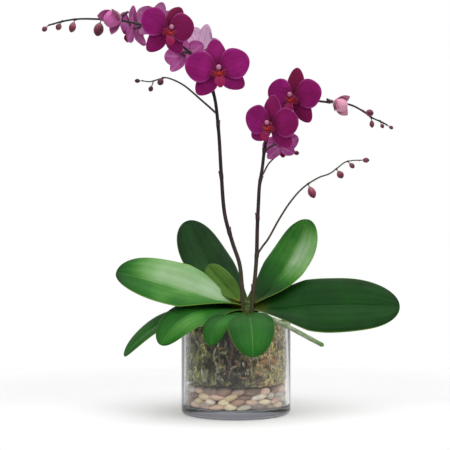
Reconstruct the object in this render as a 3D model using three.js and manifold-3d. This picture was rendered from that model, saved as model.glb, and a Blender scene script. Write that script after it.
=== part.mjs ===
// A moth orchid with two flower spikes, planted in a clear glass cylinder over river pebbles.
// Millimetres, +Z up. The origin is the centre of the glass's underside, and -Y is the front.
// Every leaf, petal and stalk is worked out from a few growth values: a direction, a length, a width and a bend.

import * as THREE from "three";
import { mergeVertices } from "three/addons/utils/BufferGeometryUtils.js";
import Module from "manifold-3d";

const wasm = await Module();
wasm.setup();

// Driving dimensions: the glass
const GLASS_RADIUS = 76.2;
const GLASS_HEIGHT = 127;
const GLASS_WALL = 4.4;
const GLASS_FLOOR = 11;
const HEEL_RADIUS = 6;
const BORE_RADIUS = GLASS_RADIUS - GLASS_WALL;
const TOUCH_GAP = 0.3;

// Driving dimensions: what the glass holds
const PEBBLE_TOP = 41;
const PEBBLE_LAYERS = 3;
const PEBBLES_A_LAYER = 11;
const BALL_RADIUS = 50;
const BALL_TOP = 121;
const MOSS_TOP = 128;
const CROWN_X = 15;
const CROWN_RADIUS = 12;
const CROWN_BASE = BALL_TOP + TOUCH_GAP;
const CROWN_TOP = 157;

// Driving dimensions: the plant
const LEAF_THICKNESS = 2.6;
const TEPAL_THICKNESS = 0.9;
const LIP_THICKNESS = 1.3;
const PEDICEL_RADIUS = 1.5;

const RAD = Math.PI / 180;
const vec = (x, y, z) => new THREE.Vector3(x, y, z);

// A generator that gives the same draws each run
function seeded(seed) {
  let state = seed;
  return () => {
    state = (state * 16807) % 2147483647;
    return state / 2147483647;
  };
}

// Meshes to solids and back

function solidFrom(points, triangles) {
  const flat = new Float32Array(points.flatMap((p) => [p.x, p.y, p.z]));
  const mesh = new wasm.Mesh({
    numProp: 3,
    vertProperties: flat,
    triVerts: new Uint32Array(triangles.flat()),
  });
  const made = new wasm.Manifold(mesh);
  if (made.volume() > 0) return made;
  return solidFrom(points, triangles.map(([a, b, c]) => [a, c, b]));
}

function solidOf(geometry) {
  const bare = geometry.clone();
  bare.deleteAttribute("normal");
  bare.deleteAttribute("uv");
  const merged = mergeVertices(bare, 1e-3);
  const at = merged.getAttribute("position");
  const points = Array.from({ length: at.count }, (_, i) => vec(at.getX(i), at.getY(i), at.getZ(i)));
  const triangles = [];
  for (let i = 0; i < merged.index.count; i += 3) {
    const [a, b, c] = [0, 1, 2].map((k) => merged.index.getX(i + k));
    if (a !== b && b !== c && a !== c) triangles.push([a, b, c]);
  }
  return solidFrom(points, triangles);
}

function geometryOf(solid) {
  const mesh = solid.simplify(0.1).getMesh();
  return new THREE.BufferGeometry()
    .setAttribute("position", new THREE.BufferAttribute(mesh.vertProperties, 3))
    .setIndex(new THREE.BufferAttribute(mesh.triVerts, 1));
}

const joined = (solids) => solids.reduce((all, one) => all.add(one));

function largestBody(solid) {
  return solid.decompose().reduce((best, one) => (one.volume() > best.volume() ? one : best));
}

// A blade is a surface pattern of flat points and triangles, carried onto a curved mid-surface and given a thickness.

function ladderPattern(rows, columns) {
  const points = rows.flatMap((u) => columns.map((v) => [u, v]));
  const triangles = [];
  const wide = columns.length;
  for (let i = 0; i + 1 < rows.length; i++) {
    for (let j = 0; j + 1 < wide; j++) {
      const a = i * wide + j;
      triangles.push([a, a + wide, a + wide + 1], [a, a + wide + 1, a + 1]);
    }
  }
  return { points, triangles };
}

function fanPattern(outline, middle) {
  const n = outline.length;
  return { points: [middle, ...outline], triangles: outline.map((_, k) => [0, 1 + k, 1 + ((k + 1) % n)]) };
}

function roundPattern(outline, middle, ringShare) {
  const n = outline.length;
  const inner = outline.map(([s, t]) => [
    middle[0] + (s - middle[0]) * ringShare,
    middle[1] + (t - middle[1]) * ringShare,
  ]);
  const points = [middle, ...inner, ...outline];
  const triangles = [];
  for (let k = 0; k < n; k++) {
    const next = (k + 1) % n;
    triangles.push([0, 1 + k, 1 + next]);
    triangles.push([1 + k, 1 + n + k, 1 + n + next], [1 + k, 1 + n + next, 1 + next]);
  }
  return { points, triangles };
}

function rimEdges(triangles) {
  const seen = new Map();
  for (const [a, b, c] of triangles) {
    for (const [p, q] of [[a, b], [b, c], [c, a]]) {
      if (seen.has(`${q},${p}`)) seen.delete(`${q},${p}`);
      else seen.set(`${p},${q}`, [p, q]);
    }
  }
  return [...seen.values()];
}

function bladeSolid(pattern, surface, thickness, step = 1e-3) {
  const mid = pattern.points.map(([s, t]) => surface(s, t));
  const normals = pattern.points.map(([s, t]) => {
    const along = surface(s + step, t).sub(surface(Math.max(0, s - step), t));
    const across = surface(s, t + step).sub(surface(s, t - step));
    return along.cross(across).normalize();
  });
  const side = (share) => mid.map((p, i) => p.clone().addScaledVector(normals[i], thickness * share));
  const points = [...side(0.5), ...side(-0.5)];
  const n = mid.length;
  const faces = pattern.triangles.flatMap(([a, b, c]) => [[a, b, c], [a + n, c + n, b + n]]);
  const walls = rimEdges(pattern.triangles).flatMap(([a, b]) => [[a, a + n, b + n], [a, b + n, b]]);
  return solidFrom(points, [...faces, ...walls]);
}

// A stalk is a round section swept along a curve, drawn in to its own radius at each step.
function stalkSolid(curve, steps, sides, radiusAt) {
  const section = new THREE.Shape(
    Array.from({ length: sides }, (_, k) => {
      const turn = (2 * Math.PI * k) / sides;
      return new THREE.Vector2(Math.cos(turn), Math.sin(turn));
    }),
  );
  const swept = new THREE.ExtrudeGeometry(section, { steps, extrudePath: curve, bevelEnabled: false });
  const centres = curve.getSpacedPoints(steps);
  const at = swept.getAttribute("position");
  for (let i = 0; i < at.count; i++) {
    const p = vec(at.getX(i), at.getY(i), at.getZ(i));
    const gaps = centres.map((c) => Math.abs(c.distanceTo(p) - 1));
    const k = gaps.indexOf(Math.min(...gaps));
    const q = p.sub(centres[k]).multiplyScalar(radiusAt(k / steps)).add(centres[k]);
    at.setXYZ(i, q.x, q.y, q.z);
  }
  return solidOf(swept);
}

const curveThrough = (points) => new THREE.CatmullRomCurve3(points.map((p) => vec(...p)), false, "centripetal");

// The glass: a straight cylinder with a heavy floor, a rounded heel and a polished lip
function glassCylinder() {
  const heel = Array.from({ length: 4 }, (_, k) => {
    const turn = (k / 3) * 90 * RAD;
    const x = GLASS_RADIUS - HEEL_RADIUS * (1 - Math.sin(turn));
    return new THREE.Vector2(x, HEEL_RADIUS * (1 - Math.cos(turn)));
  });
  const lip = 1.2;
  const profile = [
    new THREE.Vector2(0, 0),
    ...heel,
    new THREE.Vector2(GLASS_RADIUS, GLASS_HEIGHT - lip),
    new THREE.Vector2(GLASS_RADIUS - lip, GLASS_HEIGHT),
    new THREE.Vector2(BORE_RADIUS + lip, GLASS_HEIGHT),
    new THREE.Vector2(BORE_RADIUS, GLASS_HEIGHT - lip),
    new THREE.Vector2(BORE_RADIUS, GLASS_FLOOR + 4),
    new THREE.Vector2(BORE_RADIUS - 4, GLASS_FLOOR),
    new THREE.Vector2(0, GLASS_FLOOR),
  ];
  return solidOf(new THREE.LatheGeometry(profile, 36).rotateX(Math.PI / 2));
}

// River pebbles, in rings against the glass and sunk into the middle of the bed
function pebbleBed() {
  const draw = seeded(11);
  const floor = GLASS_FLOOR + TOUCH_GAP;
  const bed = PEBBLE_TOP - 5 - floor;
  const core = new THREE.CylinderGeometry(65, 63, bed, 20).rotateX(Math.PI / 2).translate(0, 0, floor + bed / 2);
  const stones = [solidOf(core)];
  for (let layer = 0; layer < PEBBLE_LAYERS; layer++) {
    const height = floor + 7.4 + layer * 9.2;
    for (let k = 0; k < PEBBLES_A_LAYER; k++) {
      const turn = ((k + 0.5 * layer + 0.3 * (draw() - 0.5)) / PEBBLES_A_LAYER) * 2 * Math.PI;
      const reach = layer === 0 ? 60 : 62;
      const stone = new THREE.IcosahedronGeometry(1, 0)
        .rotateY(draw())
        .scale(8.4 + draw(), 15.5 + 2 * draw(), 6 + draw())
        .rotateZ(turn)
        .translate(reach * Math.cos(turn), reach * Math.sin(turn), height + draw());
      stones.push(solidOf(stone));
    }
  }
  return joined(stones);
}

// Uneven relief on packed moss and bark, from a few waves round and up the glass
const relief = (turn, z) =>
  Math.sin(5 * turn + z / 9) * 0.5 + Math.sin(9 * turn - z / 6) * 0.3 + Math.sin(13 * turn + z / 4) * 0.2;

// Turns a profile round Z, with each point pushed in or out of place. segments is a multiple of 4.
function turnedSolid(profile, segments, push) {
  const points = profile.map(([r, z]) => new THREE.Vector2(r, z));
  const turned = new THREE.LatheGeometry(points, segments).rotateX(Math.PI / 2);
  const at = turned.getAttribute("position");
  for (let i = 0; i < at.count; i++) {
    const radius = Math.hypot(at.getX(i), at.getY(i));
    const turn = Math.round((Math.atan2(at.getY(i), at.getX(i)) / (2 * Math.PI)) * segments);
    const angle = ((((turn % segments) + segments) % segments) / segments) * 2 * Math.PI;
    const [r, z] = push(radius, at.getZ(i), angle);
    at.setXYZ(i, r * Math.cos(angle), r * Math.sin(angle), z);
  }
  return solidOf(turned);
}

// The root ball of bark and roots, standing on the pebbles
function rootBall() {
  const foot = PEBBLE_TOP + 1.2;
  const profile = [
    [0, foot],
    [BALL_RADIUS - 8, foot],
    [BALL_RADIUS, foot + 14],
    [BALL_RADIUS, foot + 40],
    [BALL_RADIUS - 1, BALL_TOP - 14],
    [BALL_RADIUS - 10, BALL_TOP - 3],
    [0, BALL_TOP],
  ];
  const lumpy = (r, z, turn) => [r > 20 ? r - 1.5 + 1.3 * relief(turn, z) : r, z];
  return turnedSolid(profile, 24, lumpy);
}

// Moss packed between the root ball and the glass, and mounded over the ball
function mossPacking() {
  const foot = PEBBLE_TOP + 4;
  const outer = BORE_RADIUS - TOUCH_GAP;
  const profile = [
    [BALL_RADIUS + 0.6, foot + 2],
    [outer - 4, foot],
    [outer, foot + 8],
    [outer, 64],
    [outer, 78],
    [outer, 92],
    [outer, 106],
    [outer, MOSS_TOP - 9],
    [outer - 5, MOSS_TOP - 1],
    [outer - 20, MOSS_TOP + 2],
    [34, MOSS_TOP + 3],
    [30, MOSS_TOP - 1],
    [31, BALL_TOP + 0.6],
    [BALL_RADIUS - 9, BALL_TOP - 2],
    [BALL_RADIUS + 0.6, BALL_TOP - 13],
    [BALL_RADIUS + 0.6, foot + 2],
  ];
  const lumpy = (r, z, turn) => {
    const onGlass = r > BORE_RADIUS - 3;
    const onTop = z > MOSS_TOP - 2;
    const drawnIn = onGlass ? 0.9 * (1 - relief(turn, z)) : 0;
    return [r - drawnIn, z + (onTop ? 1.4 * relief(turn, r) : 0)];
  };
  return turnedSolid(profile, 28, lumpy);
}

// The crown: the short stem that the leaf bases clasp
function crownSolid(spare = 0) {
  const wide = CROWN_RADIUS + spare;
  const profile = [
    [0, CROWN_BASE],
    [wide, CROWN_BASE],
    [wide, CROWN_TOP - 6],
    [wide - 3, CROWN_TOP - 1 + spare],
    [0, CROWN_TOP + spare],
  ];
  return turnedSolid(profile, 16, (r, z) => [r, z]).translate([CROWN_X, 0, 0]);
}

// Leaves. turn is the way a leaf leaves the crown, 0 to the right and -90 to the front. climb is its slope at the
// crown and at the tip, bend how late it turns from one to the other, veer how far it swings sideways, roll the tilt
// of its blade, twist how soon it reaches that tilt, and fold the rise of its halves.
const LEAVES = {
  leaf_right: { base: 142.4, turn: -4, veer: 2, climb: [7, -4.5], bend: 1.2, length: 203, width: 45, roll: 54, fold: 9, twist: 1.2 },
  leaf_left: { base: 144, turn: 184, veer: -3, climb: [20.5, 12.5], bend: 1.2, length: 180, width: 46, roll: -39, fold: 18 },
  leaf_back_right: { base: 149, turn: 32, veer: -1, climb: [34, 71], bend: 1, length: 156, width: 37, roll: 20, fold: 12 },
  leaf_back_left: { base: 150, turn: 134, veer: -9, climb: [33, 56], bend: 1, length: 171, width: 35, roll: -22, fold: 8 },
  leaf_young: { base: 154, turn: 152, veer: 0, climb: [44, 44], bend: 1.2, length: 73, width: 16, roll: -68, fold: 14 },
  leaf_front: { base: 136.5, turn: -88, veer: 2, climb: [4, -88], bend: 2.4, length: 136, width: 32, roll: 0, fold: 5 },
  leaf_front_left: { base: 138, turn: -117, veer: 2, climb: [3, -90], bend: 3, length: 118, width: 20, roll: 0, fold: 3 },
  leaf_low_left: { base: 141, turn: -148, veer: -4, climb: [12, -67], bend: 1.6, length: 142, width: 30, roll: -26, fold: 8 },
  leaf_lower_left: { base: 139, turn: -171, veer: 2, climb: [8, -57], bend: 1.35, length: 181, width: 25, roll: -15, fold: 12 },
};
const LEAF_ROWS = [0, 0.07, 0.16, 0.28, 0.41, 0.54, 0.67, 0.79, 0.88, 0.95, 0.99];
const LEAF_COLUMNS = [-1, -0.5, 0, 0.5, 1];
const LEAF_STEPS = 40;

function leafWidth(u) {
  const foot = 0.32;
  const swell = foot + (1 - foot) * Math.sin((Math.PI / 2) * Math.min(1, u / 0.52)) ** 0.9;
  const tip = Math.sqrt(Math.max(0, 1 - Math.max(0, (u - 0.5) / 0.5) ** 2.6));
  return swell * tip;
}

function leafHeading(leaf, u) {
  const climb = (leaf.climb[0] + (leaf.climb[1] - leaf.climb[0]) * u ** leaf.bend) * RAD;
  const turn = (leaf.turn + leaf.veer * u) * RAD;
  return {
    along: vec(Math.cos(turn) * Math.cos(climb), Math.sin(turn) * Math.cos(climb), Math.sin(climb)),
    side: vec(-Math.sin(turn), Math.cos(turn), 0),
  };
}

function leafSpine(leaf, u) {
  const turn = leaf.turn * RAD;
  const start = CROWN_RADIUS - leaf.sink;
  const at = vec(CROWN_X + start * Math.cos(turn), start * Math.sin(turn), leaf.base);
  const whole = Math.floor(u * LEAF_STEPS);
  for (let k = 0; k <= whole; k++) {
    const share = k < whole ? 1 / LEAF_STEPS : u - whole / LEAF_STEPS;
    at.addScaledVector(leafHeading(leaf, (k + 0.5) / LEAF_STEPS).along, leaf.length * share);
  }
  return at;
}

function leafPoint(leaf, u, v) {
  const { along, side } = leafHeading(leaf, u);
  const up = along.clone().cross(side);
  const roll = leaf.roll * RAD * Math.min(1, (leaf.twist ?? 1) * (0.25 + 1.6 * u));
  const across = side.clone().multiplyScalar(Math.cos(roll)).addScaledVector(up, Math.sin(roll));
  const rise = up.clone().multiplyScalar(Math.cos(roll)).addScaledVector(side, -Math.sin(roll));
  const half = leaf.width * leafWidth(u);
  const fold = (leaf.fold + 22 * (1 - u) ** 4) * RAD;
  const height = half * (Math.abs(v) * Math.tan(fold) - 0.16 * v ** 4);
  return leafSpine(leaf, u).addScaledVector(across, half * v * Math.cos(fold * 0.5)).addScaledVector(rise, height);
}

function leafSolid(leaf, spare = 0) {
  const grown = {
    ...leaf,
    width: leaf.width + 2 * spare,
    length: leaf.length + 2 * spare,
    sink: 2 + spare,
  };
  const pattern = ladderPattern(LEAF_ROWS, LEAF_COLUMNS);
  return bladeSolid(pattern, (u, v) => leafPoint(grown, u, v), LEAF_THICKNESS + 2 * spare);
}

// Flower spikes: each a main stalk, its side branches, and a pedicel to each bloom and bud
const SPIKES = {
  spike_left: {
    stalk: [
      [9, -15, 136], [8.5, -15, 165], [5, -14, 207], [-5, -12, 238], [-15.5, -11, 276], [-20.5, -11, 332],
      [-24.5, -12, 395], [-31, -14, 444], [-46, -16, 480], [-66, -18, 503], [-85, -18, 517], [-106, -17, 531],
      [-135, -15, 541], [-165, -12, 547], [-194, -9, 549], [-220, -6, 549.5], [-240, -4, 547], [-262, -2, 541.5],
    ],
    radius: [2.9, 1.1],
    branches: [
      {
        points: [
          [-27, -12, 417], [-35, -16, 424], [-49, -20, 436], [-72, -24, 455], [-88, -26, 463], [-98, -26, 465.5],
          [-108, -25, 463], [-119, -22, 460.5], [-130, -18, 462],
        ],
        radius: [1.5, 0.8],
      },
    ],
  },
  spike_right: {
    stalk: [
      [21, -15, 136], [22.5, -15, 158], [26, -14, 188], [28.5, -13, 221], [29.5, -12, 260], [31, -11, 291],
      [32.5, -10, 317], [36.5, -9, 342], [40, -7, 370], [47, -5, 398], [60, -4, 421], [78, -4, 434],
      [100, -4, 437], [122, -4, 434.5], [142, -4, 433], [160, -4, 430], [176, -4, 422], [190, -4, 412],
      [204, -3, 406], [211, -2, 402],
    ],
    radius: [2.9, 1.0],
    branches: [
      {
        points: [
          [29, -13, 221], [36, -17, 232], [44, -22, 243], [60, -28, 272], [75, -32, 295], [91, -35, 313],
          [112, -38, 327], [128, -38, 333], [139, -37, 341], [149, -35, 348.5], [160, -33, 351], [171, -31, 351.5],
        ],
        radius: [1.5, 0.8],
      },
      {
        points: [[33, -10, 326], [39, 4, 336], [47, 20, 350], [59, 29, 361], [69, 30, 366], [79, 27, 366]],
        radius: [1.4, 0.8],
      },
    ],
  },
};

// Blooms. at is the middle of the flower, from the point on its spike where its pedicel leaves. yaw is the way it
// faces, 0 to the front and 90 to the right, nod is up or down, roll is clockwise, and size is a share of full size.
const BLOOMS = {
  bloom_1: { spike: "spike_left", from: 0.535, at: [-25, -48, 473], yaw: 6, nod: -4, roll: -6, size: 1.03, leans: [17, 163, 90, -36, 224] },
  bloom_2: { spike: "spike_left", from: 0.69, at: [-94, -50, 528], yaw: 30, nod: -6, roll: 6, size: 0.95, leans: [18, 161, 58, -42, 236] },
  bloom_3: { spike: "spike_left", from: 0.58, at: [-47, 30, 511], yaw: 138, nod: 4, roll: -28, size: 0.94 },
  bloom_4: { spike: "spike_left", from: 0.635, at: [-72, 10, 500], yaw: 160, nod: -14, roll: 14, size: 0.7 },
  bloom_5: { spike: "spike_left", from: 0.785, at: [-147, 26, 541], yaw: -118, nod: -6, roll: 0, size: 0.78 },
  bloom_6: { spike: "spike_left", from: 0.735, at: [-114, 34, 552], yaw: -160, nod: 20, roll: -10, size: 0.72 },
  bloom_7: { spike: "spike_right", from: 0.66, at: [79, -38, 437.5], yaw: -33, nod: -4, roll: 4, size: 0.97, leans: [13, 167, 90, -56, 221] },
  bloom_8: { spike: "spike_right", from: 0.55, at: [47.5, -48, 399], yaw: -34, nod: -6, roll: 10, size: 0.97, leans: [15, 169, 98, -41, 213] },
  bloom_9: { spike: "spike_right", from: 0.505, at: [63, 6, 373], yaw: 160, nod: -18, roll: 10, size: 0.62 },
};

// Rotation from a flower's own axes (x to its right as seen, y to its top, z out of its face) to the part's frame
function flowerFrame({ yaw, nod, roll }) {
  const [y, n] = [yaw * RAD, nod * RAD];
  const face = vec(Math.sin(y) * Math.cos(n), -Math.cos(y) * Math.cos(n), Math.sin(n));
  const right = vec(0, 0, 1).cross(face).normalize();
  const top = face.clone().cross(right);
  const turned = new THREE.Matrix4().makeBasis(right, top, face);
  return turned.multiply(new THREE.Matrix4().makeRotationZ(-roll * RAD));
}

function placed(solid, flower) {
  const m = flowerFrame(flower)
    .scale(vec(flower.size, flower.size, flower.size))
    .setPosition(...flower.at);
  return solid.transform(m.elements);
}

// Tepals: lean is the angle in the flower's face, from its right; back is how far the tip is swept behind the face
const PETAL = { length: 43, width: 19.5, claw: 3, foot: 1.5, lift: 1.2, back: 2, cup: -1.6, middle: 1.1, shares: [0.07, 0.3, 0.64, 0.9] };
const SEPAL = { length: 40, width: 12, claw: 3.6, foot: 1.5, lift: -2.2, back: 5, cup: -1, middle: 1.08, shares: [0.1, 0.5, 0.88] };

function tepalWidth(tepal, s) {
  const share = Math.min(1, s);
  const swell = Math.max(0, Math.sin(Math.PI * share ** tepal.middle)) ** (0.8 - 0.3 * share);
  return tepal.claw * (1 - s) + tepal.width * swell;
}

function tepalPoint(tepal, lean, s, q) {
  const angle = lean * RAD;
  const r = tepal.foot + s * tepal.length;
  const z = tepal.lift + 3 * s * (1 - s) - tepal.back * s * s + tepal.cup * (q / tepal.width) ** 2;
  return vec(r * Math.cos(angle) - q * Math.sin(angle), r * Math.sin(angle) + q * Math.cos(angle), z);
}

function tepalOutline(tepal) {
  const side = tepal.shares.map((s) => [s, tepalWidth(tepal, s)]);
  const other = side.map(([s, q]) => [s, -q]).reverse();
  return [[0, -tepal.claw], [0, tepal.claw], ...side, [1, 0], ...other];
}

function petalSolid(lean) {
  const pattern = roundPattern(tepalOutline(PETAL), [0.5, 0], 0.55);
  return bladeSolid(pattern, (s, q) => tepalPoint(PETAL, lean, s, q), TEPAL_THICKNESS);
}

function sepalSolid(lean) {
  const pattern = fanPattern(tepalOutline(SEPAL), [0.5, 0]);
  return bladeSolid(pattern, (s, q) => tepalPoint(SEPAL, lean, s, q), TEPAL_THICKNESS);
}

const HUB_RADIUS = 3.2;

const TEPAL_LEANS = [17, 163, 90, -41, 221];

function tepalsSolid(flower) {
  const [right, left, top, lowRight, lowLeft] = flower.leans ?? TEPAL_LEANS;
  const hub = solidOf(new THREE.IcosahedronGeometry(HUB_RADIUS, 0));
  const petals = [petalSolid(right), petalSolid(left)];
  return joined([hub, ...petals, sepalSolid(top), sepalSolid(lowRight), sepalSolid(lowLeft)]);
}

// The lip: a pointed middle lobe, two side lobes that stand up round the column, and the column over them
function lipSolid() {
  const foot = HUB_RADIUS + TOUCH_GAP + 0.8;
  const middleWidth = (s) => 2.8 - 1.2 * s + 5.2 * Math.max(0, Math.sin(Math.PI * s ** 1.5)) ** 1.2;
  const middle = bladeSolid(
    ladderPattern([0, 0.4, 0.75, 1], [-1, 0, 1]),
    (s, t) => vec(t * middleWidth(s), -4 - 19 * s ** 1.2, foot + 9 * Math.sin(2.2 * s) + Math.abs(t) * 1.6),
    LIP_THICKNESS,
  );
  const sideLobe = (hand) => {
    return bladeSolid(
      fanPattern([[0, -0.6], [0, 0.6], [0.5, 1], [1, 0.1], [0.5, -1]], [0.5, 0]),
      (s, t) => vec(hand * (1.2 + 9.6 * Math.sin(1.5 * s)), -5.8 + 4.5 * s * s + 3.6 * t, foot + 5 + 2.8 * t - 1.5 * s),
      LIP_THICKNESS,
    );
  };
  const column = stalkSolid(
    curveThrough([[0, 1.5, foot - 0.6], [0, 2.4, foot + 4], [0, 3.8, foot + 9]]),
    2,
    6,
    (t) => 2.4 + 1.1 * t,
  );
  const keel = stalkSolid(curveThrough([[0, 1.5, foot + 1.9], [0, -7, foot + 4]]), 1, 5, () => 2.2);
  return joined([middle, sideLobe(1), sideLobe(-1), column, keel]);
}

const spikeCurve = (spike) => curveThrough(spike.stalk);

function pedicelSolid(flower, radius = PEDICEL_RADIUS) {
  const start = spikeCurve(SPIKES[flower.spike]).getPointAt(flower.from);
  const face = vec(0, 0, 1).applyMatrix4(flowerFrame(flower));
  const seat = HUB_RADIUS * flower.size + TOUCH_GAP;
  const end = vec(...flower.at).addScaledVector(face, -seat);
  const behind = end.clone().addScaledVector(face, -14 * flower.size);
  const line = [start, start.clone().lerp(behind, 0.55).add(vec(0, 0, 2)), behind, end];
  return stalkSolid(new THREE.CatmullRomCurve3(line, false, "centripetal"), 3, 5, (t) => radius * (1 + 0.35 * t));
}

// Opening buds: a globe of tepals not yet spread, with three sepals parting round it
const OPENING_BUDS = {
  opening_bud_left: { spike: "spike_left", from: 0.825, at: [-164, -22, 550], yaw: -40, nod: -24, roll: 60, size: 1.3 },
  opening_bud_right: { spike: "spike_right", from: 0.8, at: [138.5, -17, 431.5], yaw: 40, nod: -20, roll: 20, size: 1.08 },
};

function openingBudSolid() {
  const globe = solidOf(new THREE.SphereGeometry(1, 7, 5).scale(9, 11, 9).rotateX(Math.PI / 2).translate(0, 0, 8));
  const sepals = [90, 210, 330].map((lean) => {
    const angle = lean * RAD;
    const surface = (s, t) => {
      const open = 1.7 * s;
      const r = 3 + 9.5 * Math.sin(open) + 1.6 * s;
      const z = -1 + 19 * s - 1.5 * s * s;
      const around = angle + (t * Math.sin(Math.PI * Math.min(0.97, 0.12 + 0.85 * s)) * 8.5) / r;
      return vec(r * Math.cos(around), r * Math.sin(around), z);
    };
    return bladeSolid(ladderPattern([0, 0.35, 0.7, 1], [-1, 0, 1]), surface, 1.3);
  });
  return joined([globe, ...sepals]);
}

// Closed buds: each hangs on its spike or branch, at a share of its length, by a short pedicel
const BUDS = {
  bud_left_1: { line: ["spike_left"], from: 0.872, drop: [-2, -5, -11], length: 22, width: 7 },
  bud_left_2: { line: ["spike_left"], from: 0.935, drop: [-2, -1, -7], length: 16, width: 5 },
  bud_left_3: { line: ["spike_left"], from: 0.968, drop: [-3, 2, -5], length: 10.5, width: 4.2 },
  bud_left_4: { line: ["spike_left"], from: 1, drop: [-4, 0, -4], length: 9, width: 3.7 },
  bud_left_branch_1: { line: ["spike_left", 0], from: 0.74, drop: [-3, -5, -5], length: 12, width: 4.4 },
  bud_left_branch_2: { line: ["spike_left", 0], from: 0.86, drop: [-5, -2, -15], length: 8.5, width: 3.4 },
  bud_left_branch_3: { line: ["spike_left", 0], from: 1, drop: [-5, 0, 0], length: 8, width: 3 },
  bud_right_1: { line: ["spike_right"], from: 0.915, drop: [6, -5, -2], length: 13, width: 5 },
  bud_right_2: { line: ["spike_right"], from: 0.945, drop: [1, 2, -8], length: 11, width: 3.4 },
  bud_right_3: { line: ["spike_right"], from: 0.975, drop: [3, -1, -7], length: 7, width: 2.8 },
  bud_right_4: { line: ["spike_right"], from: 1, drop: [5, 0, -3], length: 7, width: 2.6 },
  bud_right_branch_1: { line: ["spike_right", 0], from: 0.6, drop: [3, -2, -7], length: 18, width: 5.5 },
  bud_right_branch_2: { line: ["spike_right", 0], from: 0.815, drop: [4, -1, -6], length: 12, width: 4.8 },
  bud_right_branch_3: { line: ["spike_right", 0], from: 0.91, drop: [5, 1, -5], length: 9.5, width: 3.4 },
  bud_right_branch_4: { line: ["spike_right", 0], from: 1, drop: [4, 0, 0], length: 10, width: 3.6 },
  bud_back_branch: { line: ["spike_right", 1], from: 1, drop: [5, -2, -1], length: 9, width: 3.2 },
};

function lineOf([name, branch]) {
  return branch === undefined ? spikeCurve(SPIKES[name]) : curveThrough(SPIKES[name].branches[branch].points);
}

function budSeat(bud) {
  const start = lineOf(bud.line).getPointAt(bud.from);
  const way = vec(...bud.drop);
  const reach = way.length();
  return { start, way: way.clone().normalize(), foot: start.clone().addScaledVector(way.normalize(), reach * 0.45) };
}

function budSolid(bud) {
  const rings = [[0, 0], [0.5, 0.08], [1, 0.45], [0.66, 0.84], [0, 1]];
  const profile = rings.map(([r, z]) => new THREE.Vector2(r * bud.width, z * bud.length));
  const { way, foot } = budSeat(bud);
  const facing = new THREE.Quaternion().setFromUnitVectors(vec(0, 0, 1), way);
  const base = foot.clone().addScaledVector(way, TOUCH_GAP);
  const m = new THREE.Matrix4().compose(base, facing, vec(1, 1, 1));
  return solidOf(new THREE.LatheGeometry(profile, 7).rotateX(Math.PI / 2).applyMatrix4(m));
}

function budPedicel(bud) {
  const { start, foot } = budSeat(bud);
  return stalkSolid(new THREE.LineCurve3(start, foot), 1, 5, () => 0.8);
}

function spikeSolid(name) {
  const spike = SPIKES[name];
  const taper = ([thick, thin]) => (t) => thick + (thin - thick) * t ** 1.6;
  const stalk = stalkSolid(spikeCurve(spike), 26, 6, taper(spike.radius));
  const branches = spike.branches.map((b) => stalkSolid(curveThrough(b.points), 10, 5, taper(b.radius)));
  const flowers = Object.values({ ...BLOOMS, ...OPENING_BUDS }).filter((f) => f.spike === name);
  const buds = Object.values(BUDS).filter((b) => b.line[0] === name);
  return joined([stalk, ...branches, ...flowers.map((f) => pedicelSolid(f)), ...buds.map(budPedicel)]);
}

// An aerial root that has grown out over the rim
const ROOT_LINE = [[28.4, -6, 135.8], [33, -22, 136], [46, -52, 135.6], [66, -68, 127.6], [92, -67, 113.6], [118, -62, 99.5]];
const ROOT_RADIUS = 3.6;
const aerialRoot = (spare = 0) =>
  stalkSolid(curveThrough(ROOT_LINE), 8, 6, (t) => (t < 1 ? ROOT_RADIUS : ROOT_RADIUS * 0.55) + spare);

// Assembly

const COLOURS = {
  glass: [0.88, 0.92, 0.92],
  pebble: [0.62, 0.54, 0.45],
  moss: [0.33, 0.33, 0.17],
  bark: [0.2, 0.13, 0.08],
  leaf: [0.07, 0.22, 0.06],
  stem: [0.12, 0.09, 0.06],
  root: [0.35, 0.42, 0.27],
  petal: [0.36, 0.02, 0.27],
  lip: [0.42, 0.03, 0.05],
  bud: [0.45, 0.14, 0.25],
};
const ROUGHNESS = { glass: 0.03, pebble: 0.55, leaf: 0.35, petal: 0.5 };

const plant = new THREE.Group();

function addPiece(name, material, solid) {
  const finish = new THREE.MeshStandardMaterial({
    color: new THREE.Color(...COLOURS[material]),
    roughness: ROUGHNESS[material] ?? 0.7,
    metalness: 0,
    transparent: material === "glass",
    opacity: material === "glass" ? 0.35 : 1,
  });
  const mesh = new THREE.Mesh(geometryOf(solid), finish);
  mesh.name = name;
  plant.add(mesh);
}

addPiece("glass_cylinder", "glass", glassCylinder());
addPiece("pebbles", "pebble", pebbleBed());
addPiece("root_ball", "bark", rootBall());
addPiece("moss", "moss", mossPacking());

const crown = crownSolid();
addPiece("crown", "leaf", crown);

const spikes = Object.keys(SPIKES).map((name) => ({ name, solid: spikeSolid(name) }));
spikes.forEach(({ name, solid }) => addPiece(name, "stem", solid));
addPiece("aerial_root", "root", aerialRoot());

// Each leaf base gives way to the crown, to the spikes, to the root and to the leaves before it.
const clearedBy = [
  crownSolid(TOUCH_GAP),
  ...Object.values(SPIKES).map((s) => stalkSolid(spikeCurve(s), 26, 6, () => s.radius[0] + TOUCH_GAP)),
  aerialRoot(TOUCH_GAP),
];
for (const [name, leaf] of Object.entries(LEAVES)) {
  const cut = clearedBy.reduce((left, other) => left.subtract(other), leafSolid(leaf));
  addPiece(name, "leaf", largestBody(cut.simplify(0.15)));
  clearedBy.push(leafSolid(leaf, 2 * TOUCH_GAP));
}

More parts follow.
